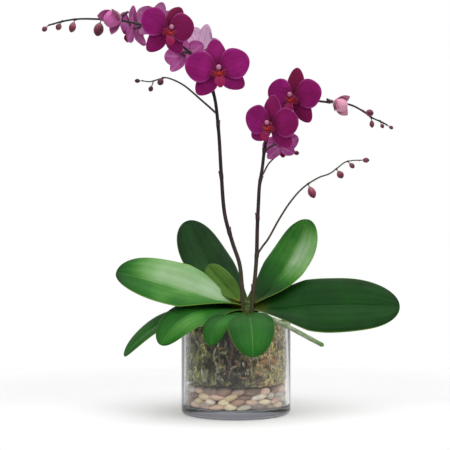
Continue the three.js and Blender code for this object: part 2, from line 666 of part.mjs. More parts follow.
for (const [name, flower] of Object.entries(BLOOMS)) {
  addPiece(`${name}_petals`, "petal", placed(tepalsSolid(flower), flower));
  addPiece(`${name}_lip`, "lip", placed(lipSolid(), flower));
}
for (const [name, flower] of Object.entries(OPENING_BUDS)) {
  addPiece(name, "bud", placed(openingBudSolid(), flower));
}
for (const [name, bud] of Object.entries(BUDS)) addPiece(name, "bud", budSolid(bud));

export default plant;
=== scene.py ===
# %% [markdown]
# # A moth orchid in a glass cylinder
#
# The real object is a moth orchid with two flower spikes, planted in moss over river pebbles in a clear glass
# cylinder. Its solid model is loaded first, as a fixed frame that gives the place and size of every piece.
# Each piece is then made again in finer detail, in metres and in the same frame, so nothing has to be fitted.

# %% Load the frame and keep its box
import math

import bmesh
import bpy
import numpy as np
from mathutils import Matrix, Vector


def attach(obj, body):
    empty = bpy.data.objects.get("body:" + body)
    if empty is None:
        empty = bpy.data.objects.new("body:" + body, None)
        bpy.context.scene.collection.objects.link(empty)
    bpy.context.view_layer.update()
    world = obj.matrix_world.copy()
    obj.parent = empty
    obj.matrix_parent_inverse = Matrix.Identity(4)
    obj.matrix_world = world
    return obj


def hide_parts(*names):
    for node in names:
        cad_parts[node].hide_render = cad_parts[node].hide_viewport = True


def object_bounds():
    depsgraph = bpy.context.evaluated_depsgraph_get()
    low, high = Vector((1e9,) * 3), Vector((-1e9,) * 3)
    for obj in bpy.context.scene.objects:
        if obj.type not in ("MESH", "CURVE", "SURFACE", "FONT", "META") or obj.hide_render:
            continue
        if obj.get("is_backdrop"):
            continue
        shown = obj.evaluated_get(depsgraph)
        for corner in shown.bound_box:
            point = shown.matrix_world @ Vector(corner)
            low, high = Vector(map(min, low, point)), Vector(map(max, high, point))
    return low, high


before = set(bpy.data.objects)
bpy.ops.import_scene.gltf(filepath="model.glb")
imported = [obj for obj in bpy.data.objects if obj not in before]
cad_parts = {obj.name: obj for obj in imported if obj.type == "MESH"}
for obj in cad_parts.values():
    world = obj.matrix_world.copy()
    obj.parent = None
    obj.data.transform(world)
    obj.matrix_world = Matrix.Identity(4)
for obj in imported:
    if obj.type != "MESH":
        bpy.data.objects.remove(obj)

MM = 0.001
solid_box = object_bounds()
print("solids:", len(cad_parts), "box:", [[round(v, 3) for v in corner] for corner in solid_box])

# %% [markdown]
# ## The camera
#
# The photograph was taken from straight in front, level with the leaves, and from far enough away that the
# glass shows only a little of its floor. A long lens from 1.77 m gives the same view. The lens could be
# wider and nearer, but then the front leaf would swell and the rim of the glass would open up.

# %% Camera
CAMERA_PLACE = (-15.4, -1774, 262.5)
LENS = 101.5
SENSOR = 36


def new_object(name, data):
    """An object with the given data, put into the scene."""
    made = bpy.data.objects.new(name, data)
    bpy.context.scene.collection.objects.link(made)
    return made


camera_data = bpy.data.cameras.new("camera")
camera_data.lens = LENS
camera_data.sensor_width = SENSOR
camera = new_object("camera", camera_data)
camera.location = [v * MM for v in CAMERA_PLACE]
camera.rotation_euler = (math.radians(90), 0, 0)
bpy.context.scene.camera = camera
print("camera at", tuple(round(v, 3) for v in camera.location))

# %% [markdown]
# ## Shader maths as plain expressions
#
# A finish is easier to read as a sum than as a web of nodes. The class Wire holds one output of a node and
# turns +, - and * into Math nodes. The class Bench adds any other node in one call: its kind, its
# settings, and the values or wires of its inputs. Both serve materials and Geometry Nodes alike.


# %% Wires
def plug(socket, value):
    """Links a wire to a socket, or sets the socket's own value."""
    if isinstance(value, Wire):
        socket.id_data.links.new(value.socket, socket)
    elif socket.type == "RGBA" and len(value) == 3:
        socket.default_value = (*value, 1)
    else:
        socket.default_value = value


class Wire:
    """An output whose arithmetic adds Math nodes to its tree."""

    def __init__(self, socket):
        self.socket = socket

    def math(self, operation, *values):
        node = self.socket.id_data.nodes.new("ShaderNodeMath")
        node.operation = operation
        for socket, value in zip(node.inputs, values):
            plug(socket, value)
        return Wire(node.outputs[0])

    def __add__(self, other):
        return self.math("ADD", self, other)

    def __sub__(self, other):
        return self.math("SUBTRACT", self, other)

    def __rsub__(self, other):
        return self.math("SUBTRACT", other, self)

    def __mul__(self, other):
        return self.math("MULTIPLY", self, other)

    def __abs__(self):
        return self.math("ABSOLUTE", self)

    def sine(self):
        return self.math("SINE", self)

    def larger(self, other):
        return self.math("MAXIMUM", self, other)

    def sibling(self, name):
        """Another output of the same node."""
        return Wire(self.socket.node.outputs[name])

    def rise(self, low, high):
        """0 below low, 1 above high, and a smooth climb between them."""
        node = self.socket.id_data.nodes.new("ShaderNodeMapRange")
        node.interpolation_type = "SMOOTHSTEP"
        for name, value in (("Value", self), ("From Min", low), ("From Max", high)):
            plug(node.inputs[name], value)
        return Wire(node.outputs["Result"])

    __radd__ = __add__
    __rmul__ = __mul__


# %% Benches
class Bench:
    """A place to build one node tree."""

    def __init__(self, tree):
        self.tree = tree

    def add(self, kind, settings=None, values=None, out=0):
        """Adds a node, with its settings first and then its inputs, and gives one of its outputs."""
        node = self.tree.nodes.new(kind)
        for name, value in (settings or {}).items():
            if name == "stops":
                self.set_stops(node.color_ramp, value)
            else:
                setattr(node, name, value)
        for name, value in (values or {}).items():
            plug(node.inputs[name], value)
        return Wire(node.outputs[out])

    def set_stops(self, ramp, stops):
        while len(ramp.elements) > 1:
            ramp.elements.remove(ramp.elements[-1])
        for k, (place, colour) in enumerate(stops):
            element = ramp.elements[0] if k == 0 else ramp.elements.new(place)
            element.position = place
            element.color = (*colour, 1)


# %% [markdown]
# ## The studio
#
# A florist's picture is taken on white paper under one very broad soft light, so shadows are faint, the tops
# of leaves carry a pale sheen and their sides stay deep green. The overhead lamp is a sun with a wide angle,
# which works as a big soft box at any distance. The background is plain white, but lends the plant only part
# of its light, because a room that is white all round would wash the greens and magentas out. The room that
# the glass mirrors is dark in front and pale behind, as a real studio is, or its glare would veil the moss.


# %% Studio
SOFT_LIGHT = 0.42
MIRRORED_FRONT = 0.03
MIRRORED_BACKDROP = 0.8
SUN_WIDTH = 100
SUN_TILT = (14, 8)
SUN_POWER = 2.7
LAMP_AIM = (0, 0, 0.3)


def soft_lamp(name, place, width, power):
    """A square soft lamp at a place, turned towards the plant."""
    light = bpy.data.lights.new(name, "AREA")
    light.size = width
    light.energy = power
    lamp = new_object(name, light)
    lamp.location = place
    lamp.rotation_euler = (Vector(LAMP_AIM) - Vector(place)).to_track_quat("-Z", "Y").to_euler()


world = bpy.data.worlds.new("studio")
world.use_nodes = True
sky = Bench(world.node_tree)
seen = sky.add("ShaderNodeLightPath", out="Is Camera Ray")
mirrorings = seen.sibling("Glossy Depth")
unmirrored = 1 - mirrorings
seen_through_glass = seen.sibling("Is Transmission Ray") * unmirrored.larger(0)
way = sky.add("ShaderNodeNewGeometry", out="Position")
behind = sky.add("ShaderNodeSeparateXYZ", values={"Vector": way}, out="Y").rise(-0.1, 0.8)
mirrored = mirrorings.rise(0, 1)
room = (1 - mirrored) * SOFT_LIGHT + mirrored * (behind * MIRRORED_BACKDROP + MIRRORED_FRONT)
brightness = seen.larger(seen_through_glass) * (1 - SOFT_LIGHT) + room
background = world.node_tree.nodes["Background"]
background.inputs["Color"].default_value = (1, 1, 1, 1)
plug(background.inputs["Strength"], brightness)
bpy.context.scene.world = world
bpy.context.scene.view_settings.view_transform = "Standard"

overhead_light = bpy.data.lights.new("overhead", "SUN")
overhead_light.angle = math.radians(SUN_WIDTH)
overhead_light.energy = SUN_POWER
overhead = new_object("overhead", overhead_light)
overhead.rotation_euler = (math.radians(SUN_TILT[0]), math.radians(SUN_TILT[1]), 0)
soft_lamp("key_lamp", place=(-1.1, -1.5, 1.6), width=0.9, power=7)
soft_lamp("fill_lamp", place=(1.4, -1.4, 1.3), width=1.1, power=6)

# %% [markdown]
# ## A finish
#
# Every piece gets a material of its own: a colour that varies, a roughness and a fine relief. Patterns are
# read in the object's own coordinates, or from a map that runs along and across a blade, or from tones that
# the mesh carries at each point. Colours are written as the screen values that a painter would pick, and a
# finish is built up as a painter would: a ground colour, then thin glazes, each with its own share.


# %% Finishes
def screen(red, green, blue):
    """A screen colour, 0 to 255, as the linear colour that a shader takes."""
    shares = (red / 255, green / 255, blue / 255)
    return tuple(v / 12.92 if v <= 0.04045 else ((v + 0.055) / 1.055) ** 2.4 for v in shares)


class Finish(Bench):
    """A material on a bench, with the patterns that the pieces share."""

    def __init__(self, name, **constants):
        self.material = bpy.data.materials.new(name)
        self.material.use_nodes = True
        super().__init__(self.material.node_tree)
        self.shader = self.tree.nodes["Principled BSDF"]
        for socket, value in constants.items():
            plug(self.shader.inputs[socket.replace("_", " ")], value)
        self.place = self.add("ShaderNodeTexCoord", out="Object")

    def axis(self, name):
        """A point's own X, Y or Z, in metres."""
        return self.add("ShaderNodeSeparateXYZ", values={"Vector": self.place}, out=name)

    def noise(self, scale, detail=3, stretch=None):
        """Cloudy noise. scale is the number of clouds in a metre, and stretch pulls them along an axis."""
        place = self.place
        if stretch:
            place = self.add("ShaderNodeMapping", values={"Vector": place, "Scale": stretch})
        return self.add("ShaderNodeTexNoise", values={"Vector": place, "Scale": scale, "Detail": detail})

    def tone(self, name):
        """A number that the mesh carries at each point."""
        return self.add("ShaderNodeAttribute", {"attribute_name": name}, out="Fac")

    def blade_map(self):
        """How far along a blade a point is, 0 to 1, and how far across it, -1 to 1."""
        place = self.add("ShaderNodeUVMap", {"uv_map": "blade"}, out="UV")
        along = self.add("ShaderNodeSeparateXYZ", values={"Vector": place}, out="X")
        return along, along.sibling("Y") * 2 - 1

    def mix(self, share, low, high):
        """Goes from the low colour to the high one as share goes from 0 to 1."""
        return self.add("ShaderNodeMix", {"data_type": "RGBA"}, {0: share, 6: low, 7: high}, out=2)

    def ramp(self, share, *stops):
        """A row of screen colours, each at its place between 0 and 1."""
        stops = [(place, screen(*colour)) for place, colour in stops]
        return self.add("ShaderNodeValToRGB", {"stops": stops}, {"Fac": share}, out="Color")

    def glaze(self, base, *layers):
        """Paints layers over a base. Each is a share of cover and a screen colour."""
        for share, colour in layers:
            base = self.mix(share, base, screen(*colour))
        return base

    def coat_with(self, colour, roughness, relief, depth):
        """Joins the colour, the roughness and a relief whose depth is in millimetres to the shader."""
        bump = self.add("ShaderNodeBump", values={"Height": relief, "Distance": depth * MM, "Strength": 1.0})
        plug(self.shader.inputs["Base Color"], colour)
        plug(self.shader.inputs["Roughness"], roughness)
        plug(self.shader.inputs["Normal"], bump)
        print("finish", self.material.name, "with", len(self.tree.nodes), "nodes")
        return self.material

    def show_through(self, share, other):
        """Mixes another shader into the surface by a share."""
        shares = {0: share, 1: Wire(self.shader.outputs[0]), 2: other}
        surface = self.add("ShaderNodeMixShader", values=shares)
        plug(self.tree.nodes["Material Output"].inputs["Surface"], surface)


# %% [markdown]
# ## Clay: from points to a piece
#
# Leaves, petals and buds each follow a rule, so their points are worked out with numpy and then skinned. Clay
# gathers several such shapes into one piece, in millimetres, with a blade map and any tones, and hands them
# to Blender once. Points that fall on each other, as at a tip, are merged, so every shape is closed.


# %% Clay
MERGE_REACH = 1e-6


class Clay:
    """Shapes gathered into one piece."""

    def __init__(self):
        self.points, self.maps, self.tones, self.faces = [], [], [], []
        self.count = 0

    def press(self, points, faces, blade=None, **tones):
        """Adds one shape. blade is its map, and tones are the other numbers at its points."""
        points = np.asarray(points, float).reshape(-1, 3)
        blade = np.zeros((len(points), 2)) if blade is None else np.asarray(blade, float).reshape(-1, 2)
        self.faces += [[i + self.count for i in face] for face in faces]
        self.points.append(points)
        self.maps.append(blade)
        self.tones.append({name: np.broadcast_to(np.ravel(v), len(points)) for name, v in tones.items()})
        self.count += len(points)

    def fire(self, name, material=None):
        """Makes the mesh and its object."""
        mesh = bpy.data.meshes.new(name)
        mesh.from_pydata(np.concatenate(self.points) * MM, [], self.faces)
        corners = np.zeros(len(mesh.loops), np.int32)
        mesh.loops.foreach_get("vertex_index", corners)
        layer = mesh.uv_layers.new(name="blade")
        layer.data.foreach_set("uv", np.concatenate(self.maps)[corners].ravel())
        for tone in sorted({key for shape in self.tones for key in shape}):
            shares = [
                shape.get(tone, np.zeros(len(points))) for shape, points in zip(self.tones, self.points)
            ]
            mesh.attributes.new(tone, "FLOAT", "POINT").data.foreach_set("value", np.concatenate(shares))
        if material:
            mesh.materials.append(material)
        merged = bmesh.new()
        merged.from_mesh(mesh)
        bmesh.ops.remove_doubles(merged, verts=merged.verts, dist=MERGE_REACH)
        merged.to_mesh(mesh)
        merged.free()
        mesh.polygons.foreach_set("use_smooth", [True] * len(mesh.polygons))
        return new_object(name, mesh)


# %% Handing a piece in
def hand_in(piece, slot, *nodes):
    """Puts a finished piece on the frame's root and hides the solids that it stands for. slot is not used."""
    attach(piece, "root")
    if nodes:
        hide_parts(*nodes)
    piece.data.calc_loop_triangles()
    print("piece", piece.name, "with", len(piece.data.loop_triangles), "triangles")


# %% [markdown]
# ## Blades, turned shapes and swept shapes
#
# Three rules make most of the plant. A blade is a grid of points with a thickness, thin at its margin, as a
# leaf or a petal is. A turned shape is a profile carried round an upright axis, as the glass is. A swept
# shape is a round section carried along a line, as the column of a flower is.


# %% Blades
def grid_faces(rows, columns, shut=False):
    """The four-sided faces of a grid. shut joins its last column to its first."""
    faces = []
    for i in range(rows - 1):
        for j in range(columns if shut else columns - 1):
            k = (j + 1) % columns
            faces.append([i * columns + j, (i + 1) * columns + j, (i + 1) * columns + k, i * columns + k])
    return faces


def tube_faces(rows, columns):
    """The faces of a grid that closes round a tube, turned outwards."""
    return [face[::-1] for face in grid_faces(rows, columns, shut=True)]


def grid_of(rows, columns):
    """Two tables of values over a grid, one that changes by row and one by column."""
    return np.meshgrid(rows, columns, indexing="ij")


def blade_shape(middle, thickness):
    """A closed blade round a grid of points on its middle surface, with 1 on its upper side and 0 below."""
    rows, columns = middle.shape[:2]
    normal = np.cross(np.gradient(middle, axis=0), np.gradient(middle, axis=1))
    size = np.linalg.norm(normal, axis=2, keepdims=True)
    for i in range(1, rows):
        thin = size[i, :, 0] < 1e-9
        normal[i][thin] = normal[i - 1][thin]
        size[i][thin] = size[i - 1][thin]
    normal = normal / np.maximum(size, 1e-12)
    half = normal * np.asarray(thickness)[..., None] / 2
    count = rows * columns
    points = np.concatenate([(middle + half).reshape(-1, 3), (middle - half).reshape(-1, 3)])
    top = grid_faces(rows, columns)
    faces = top + [[i + count for i in reversed(face)] for face in top]
    rim = [i * columns for i in range(rows)] + [(rows - 1) * columns + j for j in range(1, columns)]
    rim += [i * columns + columns - 1 for i in range(rows - 2, -1, -1)] + list(range(columns - 2, 0, -1))
    for a, b in zip(rim, rim[1:] + rim[:1]):
        faces.append([b, a, a + count, b + count])
    upper = np.repeat([1.0, 0.0], count)
    return points, faces, upper


def blade_places(rows, columns):
    """The blade map of a grid, for both of its sides."""
    along, across = grid_of(rows, (np.asarray(columns) + 1) / 2)
    return np.tile(np.stack([along, across], axis=-1).reshape(-1, 2), (2, 1))


# %% Turned and swept shapes
def turned_shape(profile, segments, push=None):
    """A profile of (radius, height) carried round the Z axis: a loop, or a line with both ends on it."""
    profile = np.asarray(profile, float)
    turn = np.arange(segments) / segments * 2 * math.pi
    radius, angle = grid_of(profile[:, 0], turn)
    height = np.repeat(profile[:, 1:2], segments, axis=1)
    if push:
        radius, height = push(radius, height, angle)
    points = np.stack([radius * np.cos(angle), radius * np.sin(angle), height], axis=-1)
    return points, tube_faces(len(profile), segments)


def swept_shape(line, radii, sides):
    """A round section carried along a line, closed by a point at either end."""
    line = np.asarray(line, float)
    heading = np.gradient(line, axis=0)
    heading /= np.linalg.norm(heading, axis=1, keepdims=True)
    side = np.cross(heading[0], [0.3, 0.8, 0.52])
    rings = []
    turn = np.arange(sides) / sides * 2 * math.pi
    for place, way, radius in zip(line, heading, radii):
        side = side - way * side.dot(way)
        side /= np.linalg.norm(side)
        other = np.cross(way, side)
        rings.append(place + radius * (np.outer(np.cos(turn), side) + np.outer(np.sin(turn), other)))
    points = np.stack([np.repeat(line[:1], sides, axis=0), *rings, np.repeat(line[-1:], sides, axis=0)])
    return points, tube_faces(len(points), sides)


# %% [markdown]
# ## Lines that run smoothly through points
#
# Stalks and roots are drawn as a smooth line through a few points, as a florist bends a wire. The line is the
# same spline that the solids use, timed by the root of the way between points, so that it never loops and a
# fine stalk lies on its solid one.


# %% Smooth lines
STEPS_BETWEEN_KNOTS = 40


def smooth_line(points, steps):
    """Points at equal steps of length along a smooth line through the given ones."""
    knots = np.asarray(points, float)
    knots = np.concatenate([[2 * knots[0] - knots[1]], knots, [2 * knots[-1] - knots[-2]]])
    share = np.linspace(0, 1, STEPS_BETWEEN_KNOTS)[:, None]
    pieces = []
    for a, b, c, d in zip(knots, knots[1:], knots[2:], knots[3:]):
        ab, bc, cd = (np.linalg.norm(q - p) ** 0.5 for p, q in ((a, b), (b, c), (c, d)))
        leave = ((b - a) / ab - (c - a) / (ab + bc) + (c - b) / bc) * bc
        enter = ((c - b) / bc - (d - b) / (bc + cd) + (d - c) / cd) * bc
        cubic = 2 * b - 2 * c + leave + enter
        square = 3 * c - 3 * b - 2 * leave - enter
        pieces.append(b + leave * share + square * share**2 + cubic * share**3)
    dense = np.concatenate(pieces)
    length = np.concatenate([[0], np.cumsum(np.linalg.norm(np.diff(dense, axis=0), axis=1))])
    even = np.linspace(0, length[-1], steps + 1)
    return np.stack([np.interp(even, length, dense[:, k]) for k in range(3)], axis=1)


def along_line(line, share):
    """The point at a share of a line's length."""
    at = share * (len(line) - 1)
    return np.array([np.interp(at, np.arange(len(line)), line[:, k]) for k in range(3)])


# %% [markdown]
# ## Three Geometry Nodes trees
#
# What repeats, or follows a line or a surface, is left to Geometry Nodes. The first tree sweeps a tube along
# every line of a mesh, as thick as the line's own tone says. The second puts copies of a shape on points. The
# third scatters strands over a surface. Each ends in real mesh, because copies alone don't leave Blender.


# %% The trees' common parts
def new_tree(name, inputs):
    """An empty tree with its named inputs: a bench, its inputs by name, and its result socket."""
    tree = bpy.data.node_groups.new(name, "GeometryNodeTree")
    tree.interface.new_socket("Geometry", in_out="INPUT", socket_type="NodeSocketGeometry")
    for label, kind in inputs.items():
        tree.interface.new_socket(label, in_out="INPUT", socket_type="NodeSocket" + kind)
    tree.interface.new_socket("Geometry", in_out="OUTPUT", socket_type="NodeSocketGeometry")
    given = tree.nodes.new("NodeGroupInput")
    wires = {socket.name: Wire(socket) for socket in given.outputs if socket.name}
    return Bench(tree), wires, tree.nodes.new("NodeGroupOutput").inputs["Geometry"]


def grow(name, seed, tree, **values):
    """Runs a tree on an object once and keeps the result as a plain mesh under a new name."""
    bpy.context.scene.collection.objects.link(seed)
    modifier = seed.modifiers.new(tree.name, "NODES")
    modifier.node_group = tree
    for item in tree.interface.items_tree:
        if item.in_out == "INPUT" and item.name.replace(" ", "_") in values:
            modifier[item.identifier] = values[item.name.replace(" ", "_")]
    depsgraph = bpy.context.evaluated_depsgraph_get()
    grown = seed.evaluated_get(depsgraph)
    mesh = bpy.data.meshes.new_from_object(grown, preserve_all_data_layers=True, depsgraph=depsgraph)
    bpy.data.objects.remove(seed)
    mesh.name = name
    return new_object(name, mesh)


def seed_object(name, points, edges=(), vectors=None, **tones):
    """Bare points or lines that carry the tones which a tree reads."""
    mesh = bpy.data.meshes.new(name)
    mesh.from_pydata(np.asarray(points) * MM, list(edges), [])
    for tone, value in tones.items():
        mesh.attributes.new(tone, "FLOAT", "POINT").data.foreach_set("value", np.asarray(value, float))
    for tone, value in (vectors or {}).items():
        layer = mesh.attributes.new(tone, "FLOAT_VECTOR", "POINT")
        layer.data.foreach_set("vector", np.asarray(value, float).ravel())
    return bpy.data.objects.new(name, mesh)


# %% A tube along every line
bench, wires, result = new_tree("tube_along_lines", {"Sides": "Int", "Finish": "Material"})
curve = bench.add("GeometryNodeMeshToCurve", values={"Mesh": wires["Geometry"]})
thickness = bench.add("GeometryNodeInputNamedAttribute", {"data_type": "FLOAT"}, {"Name": "thickness"})
ring = bench.add("GeometryNodeCurvePrimitiveCircle", values={"Resolution": wires["Sides"], "Radius": 1.0})
tube = bench.add(
    "GeometryNodeCurveToMesh",
    values={"Curve": curve, "Profile Curve": ring, "Scale": thickness, "Fill Caps": True},
)
tube = bench.add("GeometryNodeSetShadeSmooth", values={"Geometry": tube})
tube = bench.add("GeometryNodeRealizeInstances", values={"Geometry": tube})
plug(result, bench.add("GeometryNodeSetMaterial", values={"Geometry": tube, "Material": wires["Finish"]}))
tube_tree = bench.tree
print("tree", tube_tree.name, "with", len(tube_tree.nodes), "nodes")

# %% Copies of a shape on points
bench, wires, result = new_tree(
    "copies_on_points", {"Shape": "Object", "Dents": "Float", "Dent Scale": "Float", "Finish": "Material"}
)
heading = bench.add("GeometryNodeInputNamedAttribute", {"data_type": "FLOAT_VECTOR"}, {"Name": "heading"})
stretch = bench.add("GeometryNodeInputNamedAttribute", {"data_type": "FLOAT_VECTOR"}, {"Name": "stretch"})
spin = bench.add("GeometryNodeInputNamedAttribute", {"data_type": "FLOAT"}, {"Name": "spin"})
facing = bench.add("FunctionNodeAlignRotationToVector", {"axis": "Z"}, {"Vector": heading})
twist = bench.add("FunctionNodeAxisAngleToRotation", values={"Axis": (0, 0, 1), "Angle": spin})
facing = bench.add(
    "FunctionNodeRotateRotation", {"rotation_space": "LOCAL"}, {"Rotation": facing, "Rotate By": twist}
)
shape = bench.add("GeometryNodeObjectInfo", values={"Object": wires["Shape"]}, out="Geometry")
copies = bench.add(
    "GeometryNodeInstanceOnPoints",
    values={"Points": wires["Geometry"], "Instance": shape, "Rotation": facing, "Scale": stretch},
)
copies = bench.add("GeometryNodeRealizeInstances", values={"Geometry": copies})
dents = bench.add("ShaderNodeTexNoise", values={"Scale": wires["Dent Scale"], "Detail": 2.0})
push = bench.add(
    "ShaderNodeVectorMath",
    {"operation": "SCALE"},
    {0: bench.add("GeometryNodeInputNormal"), "Scale": (dents - 0.5) * wires["Dents"]},
)
copies = bench.add("GeometryNodeSetPosition", values={"Geometry": copies, "Offset": push})
copies = bench.add("GeometryNodeSetShadeSmooth", values={"Geometry": copies})
plug(result, bench.add("GeometryNodeSetMaterial", values={"Geometry": copies, "Material": wires["Finish"]}))
copies_tree = bench.tree


def copy_points(name, places, headings, sizes, spins, **tones):
    """Points that carry what the tree reads: the way, the size and the spin of each copy."""
    vectors = {"heading": headings, "stretch": np.array(sizes) * MM}
    return seed_object(name, places, vectors=vectors, spin=spins, **tones)


def on_circle(radius, turn, height):
    """A place at a distance from the Z axis, an angle round it and a height."""
    return radius * math.cos(turn), radius * math.sin(turn), height


print("tree", copies_tree.name, "with", len(copies_tree.nodes), "nodes")

# %% Strands over a surface
SWING = 2.6
CURL_SCALE = 90.0
bench, wires, result = new_tree(
    "strands_on_a_surface",
    {"Strand": "Object", "Density": "Float", "Lift": "Float", "Curl": "Float", "Finish": "Material"},
)


def random_number(low, high, seed):
    """A number that is different for every strand."""
    limits = {2: low, 3: high, "Seed": seed}
    return bench.add("FunctionNodeRandomValue", {"data_type": "FLOAT"}, limits, out=1)


spots = bench.add(
    "GeometryNodeDistributePointsOnFaces",
    values={"Mesh": wires["Geometry"], "Density": wires["Density"], "Seed": 5},
    out="Points",
)
facing = bench.add(
    "FunctionNodeAlignRotationToVector",
    {"axis": "X", "pivot_axis": "Z"},
    {"Rotation": spots.sibling("Rotation"), "Vector": (0, 0, 1)},
)
swing = random_number(-1.0, 1.0, seed=1)
swing = swing * abs(swing) * SWING
tilt = random_number(-0.3, 0.12, seed=2)
size = random_number(0.6, 1.5, seed=3)
tint = random_number(0.0, 1.0, seed=4)
for axis, angle in (((0, 0, 1), swing), ((0, 1, 0), tilt + wires["Lift"])):
    twist = bench.add("FunctionNodeAxisAngleToRotation", values={"Axis": axis, "Angle": angle})
    facing = bench.add(
        "FunctionNodeRotateRotation", {"rotation_space": "LOCAL"}, {"Rotation": facing, "Rotate By": twist}
    )
shape = bench.add("GeometryNodeObjectInfo", values={"Object": wires["Strand"]}, out="Geometry")
strands = bench.add(
    "GeometryNodeInstanceOnPoints",
    values={"Points": spots, "Instance": shape, "Rotation": facing, "Scale": size},
)
strands = bench.add(
    "GeometryNodeStoreNamedAttribute",
    {"data_type": "FLOAT", "domain": "INSTANCE"},
    {"Geometry": strands, "Name": "tint", "Value": tint},
)
strands = bench.add("GeometryNodeRealizeInstances", values={"Geometry": strands})
curls = bench.add("ShaderNodeTexNoise", values={"Scale": CURL_SCALE, "Detail": 1.0}, out="Color")
curls = bench.add("ShaderNodeVectorMath", {"operation": "SUBTRACT"}, {0: curls, 1: (0.5, 0.5, 0.5)})
curls = bench.add("ShaderNodeVectorMath", {"operation": "SCALE"}, {0: curls, "Scale": wires["Curl"]})
strands = bench.add("GeometryNodeSetPosition", values={"Geometry": strands, "Offset": curls})
strands = bench.add("GeometryNodeSetShadeSmooth", values={"Geometry": strands})
plug(result, bench.add("GeometryNodeSetMaterial", values={"Geometry": strands, "Material": wires["Finish"]}))
strand_tree = bench.tree
print("tree", strand_tree.name, "with", len(strand_tree.nodes), "nodes")

# %% [markdown]
# ## The glass
#
# The cylinder is blown glass with a heavy floor, a rounded heel and a fire-polished lip. It is a turned
# shape: one profile, up the outside, over the lip and down the inside. The material really bends light, so
# the thick floor and the edges show as glass does. The floor is painted darker, as painted shade, and the
# left edge dark, as a painted reflection of the dark side of a studio. Lamps shine through it, by a shader
# that lets shadow rays pass.

# %% Glass finish
FLOOR_PAINTED_SHADE = (0.24, 0.24, 0.27)
WALL_TINT = (0.93, 0.95, 0.95)
LEFT_EDGE_PAINTED_REFLECTION = (0.05, 0.05, 0.06)
RIGHT_EDGE_PAINTED_REFLECTION = (1.0, 1.0, 1.0)
RIPPLE_DEPTH = 0.4 * MM
glass = Finish("clear_glass", IOR=1.46, Transmission_Weight=1.0, Roughness=0.015, Specular_IOR_Level=0.3)
# painted shade: the thick floor of the glass is darker than its wall
tint = glass.mix(glass.axis("Z").rise(0.008, 0.014), FLOOR_PAINTED_SHADE, WALL_TINT)
# painted reflection at the edges: dark on the left, as the mirrored dark side of a studio, clear on the right
edge = glass.add("ShaderNodeLayerWeight", values={"Blend": 0.5}, out="Facing").rise(0.6, 0.74)
painted_edge_reflection = glass.mix(glass.axis("X").rise(-0.05, 0.05), LEFT_EDGE_PAINTED_REFLECTION, RIGHT_EDGE_PAINTED_REFLECTION)
plug(glass.shader.inputs["Base Color"], glass.mix(edge, tint, painted_edge_reflection))
drawn = glass.noise(9, 2, stretch=(1, 1, 0.25))
ripple = glass.add("ShaderNodeBump", values={"Height": drawn, "Distance": RIPPLE_DEPTH, "Strength": 0.35})
plug(glass.shader.inputs["Normal"], ripple)
shadow_ray = glass.add("ShaderNodeLightPath", out="Is Shadow Ray")
passing = shadow_ray.larger(shadow_ray.sibling("Is Diffuse Ray"))
glass.show_through(passing, glass.add("ShaderNodeBsdfTransparent", values={"Color": (0.9, 0.92, 0.93)}))
print("glass has", len(glass.tree.nodes), "nodes")

# %% Glass cylinder
GLASS_RADIUS = 76.2
GLASS_HEIGHT = 127
BORE_RADIUS = 71.8
GLASS_FLOOR = 11
HEEL_RADIUS = 6
INNER_HEEL_RADIUS = 4
GLASS_SIDES = 160


def corner(centre, radius, start, end, steps=8):
    """Points on an arc in a profile. Angles are in degrees, 0 outwards and 90 up."""
    turn = np.radians(np.linspace(start, end, steps))
    return [(centre[0] + radius * math.cos(t), centre[1] + radius * math.sin(t)) for t in turn]


lip_radius = (GLASS_RADIUS - BORE_RADIUS) / 2
glass_profile = [(0, 0)]
glass_profile += corner((GLASS_RADIUS - HEEL_RADIUS, HEEL_RADIUS), HEEL_RADIUS, -90, 0)
lip_centre = (BORE_RADIUS + lip_radius, GLASS_HEIGHT - lip_radius)
glass_profile += corner(lip_centre, lip_radius, 0, 180, steps=14)
inner_heel = (BORE_RADIUS - INNER_HEEL_RADIUS, GLASS_FLOOR + INNER_HEEL_RADIUS)
glass_profile += corner(inner_heel, INNER_HEEL_RADIUS, 0, -90)
glass_profile += [(0, GLASS_FLOOR)]
clay = Clay()
clay.press(*turned_shape(glass_profile, segments=GLASS_SIDES))
glass_piece = clay.fire("glass_vase", glass.material)
hand_in(glass_piece, "glass", "glass_cylinder")

# %% [markdown]
# ## The pebbles
#
# River pebbles in cream, tan, pink and grey lie against the glass in about four courses, long side level. A
# physics drop would settle them, but it costs time at every run. Instead points are pushed apart on the
# unrolled wall until each has room for its own flat oval, and the copies tree puts a stone on each.

# %% Pebble finish
stone = Finish("river_pebble", Specular_IOR_Level=0.4)
speckle = stone.noise(900, 4)
cloud = stone.noise(160, 3)
bands = (stone.noise(120, 2, stretch=(1, 1, 5)) * 9).sine().rise(0.5, 1.0)
flat_place = stone.add("ShaderNodeVectorMath", {"operation": "MULTIPLY"}, {0: stone.place, 1: (1, 1, 0)})
from_axis = stone.add("ShaderNodeVectorMath", {"operation": "LENGTH"}, {0: flat_place}, out="Value")
base = stone.ramp(
    stone.tone("tint") + (cloud - 0.5) * 0.12,
    (0.0, (206, 176, 132)),
    (0.16, (236, 216, 182)),
    (0.32, (214, 168, 146)),
    (0.46, (118, 92, 74)),
    (0.6, (242, 226, 204)),
    (0.74, (128, 118, 112)),
    (0.88, (228, 188, 164)),
    (1.0, (96, 78, 66)),
)
base = stone.glaze(
    base,
    (bands * 0.3, (150, 122, 98)),
    (speckle.rise(0.62, 0.75) * 0.45, (104, 88, 74)),
    # painted shade: stones away from the glass, deeper in the bed, are darkened
    ((1 - from_axis.rise(0.062, 0.0685)) * 0.5, (94, 80, 70)),
)
pebble_material = stone.coat_with(base, 0.42 + speckle * 0.25, speckle + cloud * 2, depth=0.25)


